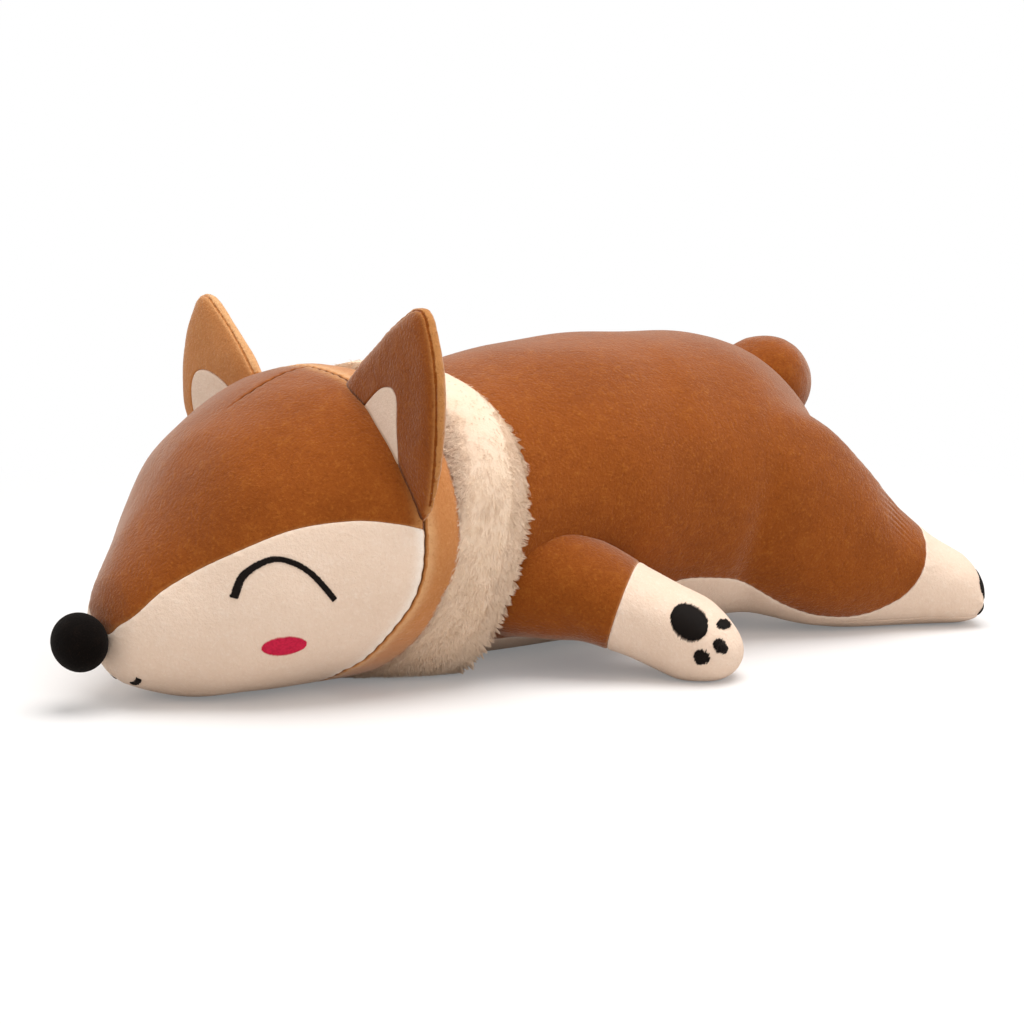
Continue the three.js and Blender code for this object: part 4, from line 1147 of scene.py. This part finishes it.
def filling(centre, radii, tilt, way, spacing, draw, rough=0.35):
    """Starts and ends of stitches that fill a tilted oval: chords side by side, their ends uneven. A chord
    at offset c ends where |c*q + r*p| = 1, with p and q the two directions in the oval's own frame."""
    a = np.radians(way)
    run, across = np.array([np.cos(a), np.sin(a)]), np.array([-np.sin(a), np.cos(a)])
    b = np.radians(tilt)
    frame_of = np.array([[np.cos(b), np.sin(b)], [-np.sin(b), np.cos(b)]]) / np.array(radii)[:, None]
    p, q = frame_of @ run, frame_of @ across
    widest = math.sqrt((p @ p) / max((p @ p) * (q @ q) - (p @ q) ** 2, 1e-12))
    c = np.arange(-widest + spacing * 0.4, widest - spacing * 0.2, spacing)
    root = np.sqrt(np.clip((p @ q * c) ** 2 - (p @ p) * ((q @ q) * c**2 - 1), 0, None))
    low, high = (-(p @ q) * c - root) / (p @ p), (-(p @ q) * c + root) / (p @ p)
    low, high = low - draw.normal(0, rough, len(c)), high + draw.normal(0, rough, len(c))
    spot = np.array(centre) + c[:, None] * across
    return spot + low[:, None] * run, spot + high[:, None] * run


def arc(centre, radius, start, end):
    """Points of an arc between two angles in degrees."""
    t = np.radians(np.linspace(start, end, 60))
    return np.array(centre) + radius * np.stack([np.cos(t), np.sin(t)], -1)


# Spacing of the threads in a line or a cheek, and in a pad
SPACING, PAD_SPACING = 0.42, 0.45
EYE_LINE, EYE_WIDTH = [(84, 58), (79.3, 69.3), (68, 76.2), (56, 70.8), (44.5, 56)], 3.1
BLUSH, BLUSH_RADII = (63.2, 33.4), (9.6, 5.6)
MOUTH_MIDDLE, MOUTH_RADIUS, MOUTH_WIDTH = (6, 25), 13.7, 1.8
# Pads: middle, radii and tilt
# Paw pads are laid from the side and a little from above, so their heights are measured across that tilt
PAW_TILT = 25
PAW_PADS = [(100, 21.2, 9.3, 11, 10), (116, 23.5, 2.8, 4.6, -25), (115.5, 10.8, 3.5, 4, 0),
            (106.6, 4.6, 4, 3.7, 20)]
# Sole pads are laid from a little outside, and their places across are measured in that turned frame
SOLE_TURN = 35
SOLE_PADS = [(92.5, 22.5, 15, 10, 0), (84, 9.5, 4, 3.2, 10), (96, 7.5, 4.2, 2.8, 0),
             (107, 9.5, 4, 3.2, -10)]


def build_face(head):
    """Closed eyes, mouth and blush, each laid on the head from its side or from the front."""
    for s, name in SIDES.items():
        draw = np.random.default_rng(60 + s)
        eye = along_path(spline(EYE_LINE, 80), EYE_WIDTH, 6, SPACING, draw)
        stitches(f"eye_stitch_{name}", *eye, 1, -s, HEAD, head, "black_thread", "torso", f"eye_{name}")
        curl = arc(MOUTH_MIDDLE, MOUTH_RADIUS, 278, 315) * [-s, 1]
        mouth = along_path(curl, MOUTH_WIDTH, 10, SPACING, draw)
        stitches(f"mouth_stitch_{name}", *mouth, 0, 1, HEAD, head, "black_thread", "torso",
                 f"mouth_{name}")
        blush = filling(BLUSH, BLUSH_RADII, 0, 80, SPACING, draw, rough=0.15)
        stitches(f"blush_stitch_{name}", *blush, 1, -s, HEAD, head, "red_thread", "torso",
                 f"blush_{name}", lift=0.5)


def build_pads(arms, body):
    """Paw pads on the outer side of each paw, and sole pads on the end of each foot."""
    for s, name in SIDES.items():
        draw = np.random.default_rng(80 + s)
        paw, sole = ARM[s] @ turn("x", s * PAW_TILT), LEG[s] @ turn("z", s * SOLE_TURN)
        for k, (x, z, rx, rz, tilt) in enumerate(PAW_PADS):
            part = f"toe_{k}" if k else "pad"
            fill = filling((x, z), (rx, rz), tilt, 70, PAD_SPACING, draw)
            stitches(f"paw_{part}_stitch_{name}", *fill, 1, s, paw, arms[s], "black_thread",
                     f"arm_{name}", f"paw_{name}_{part}")
        for k, (y, z, ry, rz, tilt) in enumerate(SOLE_PADS):
            part = f"toe_{k}" if k else "pad"
            fill = filling((-s * y, z), (ry, rz), tilt, 80, PAD_SPACING, draw)
            stitches(f"sole_{part}_stitch_{name}", *fill, 0, 1, sole, body, "black_thread",
                     "torso", f"foot_{name}_{part}")


head = build_head()
body = build_body()
arms = {s: build_arm(s) for s in SIDES}
for s in SIDES:
    build_ear(s)
build_tail()
build_nose()
build_face(head)
build_pads(arms, body)
build_collar()


# Stage, light and camera

FLOOR_WHITE, FLOOR_GLOW = (0.66, 0.64, 0.625, 1), 0.19
# The floor's half side and drop in millimetres, and the reach of its shadow in metres
FLOOR_SIDE, FLOOR_DROP, SHADOW_REACH = 4000.0, 0.1, (0.35, 0.75)


def build_floor():
    """White floor that keeps the shadow. Seen by the camera, a glow lifts it to white, and it is all glow
    far from the fox."""
    f = Finish("floor_white")
    length = f.node("ShaderNodeVectorMath", {"operation": "LENGTH"}, {0: f.place()}, "Value")
    seen = f.node("ShaderNodeLightPath", {}, {}, "Is Camera Ray")
    matte = f.node("ShaderNodeBsdfDiffuse", {}, {"Color": FLOOR_WHITE}, "BSDF")
    glow, white = (f.node("ShaderNodeEmission", {}, {"Color": (1, 1, 1, 1), "Strength": k}, "Emission")
                   for k in (FLOOR_GLOW, 1.0))
    lifted = f.node("ShaderNodeAddShader", {}, {0: matte, 1: glow}, "Shader")
    near = f.node("ShaderNodeMixShader", {}, {0: length.ramp(*SHADOW_REACH), 1: lifted, 2: white}, "Shader")
    shown = f.node("ShaderNodeMixShader", {}, {0: seen, 1: matte, 2: near}, "Shader")
    f.node("ShaderNodeOutputMaterial", {}, {"Surface": shown})
    corners = np.array([(-1, -1, 0), (1, -1, 0), (1, 1, 0), (-1, 1, 0)]) * FLOOR_SIDE - [0, 0, FLOOR_DROP]
    floor = mesh_piece("floor", corners, np.array([[0, 1, 2, 3]]), f.owner)


def build_world(strength):
    """World that is white to the camera and to a mirror or a clear piece, and lights the rest with a
    strength of its own."""
    f = Finish(bpy.data.worlds.new("studio"))
    camera, mirror, clear = (f.node("ShaderNodeLightPath", {}, {}, f"Is {ray} Ray")
                             for ray in ("Camera", "Glossy", "Transmission"))
    seen = camera.math("MAXIMUM", camera.math("MAXIMUM", camera, mirror), clear)
    fill, white = (f.node("ShaderNodeBackground", {}, {"Color": (1, 1, 1, 1), "Strength": k}, "Background")
                   for k in (strength, 1.0))
    mixed = f.node("ShaderNodeMixShader", {}, {0: seen, 1: fill, 2: white}, "Shader")
    f.node("ShaderNodeOutputWorld", {}, {"Surface": mixed})
    bpy.context.scene.world = f.owner


def build_lamp(name, place, aim, size, power):
    """Round area lamp at a place, turned to what it lights."""
    lamp = bpy.data.lights.new(name, "AREA")
    lamp.shape, lamp.size, lamp.energy = "DISK", size, power
    holder = bpy.data.objects.new(name, lamp)
    holder.location = place
    holder.rotation_mode = "QUATERNION"
    holder.rotation_quaternion = (Vector(aim) - Vector(place)).to_track_quat("-Z", "Y")
    bpy.context.scene.collection.objects.link(holder)


build_floor()
build_world(0.65)
build_lamp("overhead", (0.15, -0.2, 1.6), (0, 0, 0.08), size=1.5, power=26)
build_lamp("front", (0.5, -1.8, 0.8), (-0.05, 0, 0.08), size=1.2, power=4.5)
build_lamp("side", (-1.4, 0.15, 1.2), (-0.05, 0, 0.1), size=1.2, power=2)

# Camera at the photograph's viewing angle
AZIMUTH, ELEVATION, DISTANCE, AIM = -33, 9.5, 1.25, (-0.00357, -0.021, 0.075)
LENS, SENSOR = 82.62, 36
a, e = math.radians(AZIMUTH), math.radians(ELEVATION)
back = Vector((math.sin(a) * math.cos(e), -math.cos(a) * math.cos(e), math.sin(e)))
camera = bpy.data.objects.new("camera", bpy.data.cameras.new("camera"))
camera.data.lens, camera.data.sensor_width = LENS, SENSOR
camera.location = Vector(AIM) + DISTANCE * back
camera.rotation_mode = "QUATERNION"
camera.rotation_quaternion = (-back).to_track_quat("-Z", "Y")
bpy.context.scene.collection.objects.link(camera)
bpy.context.scene.camera = camera
bpy.context.scene.view_settings.view_transform = "Standard"
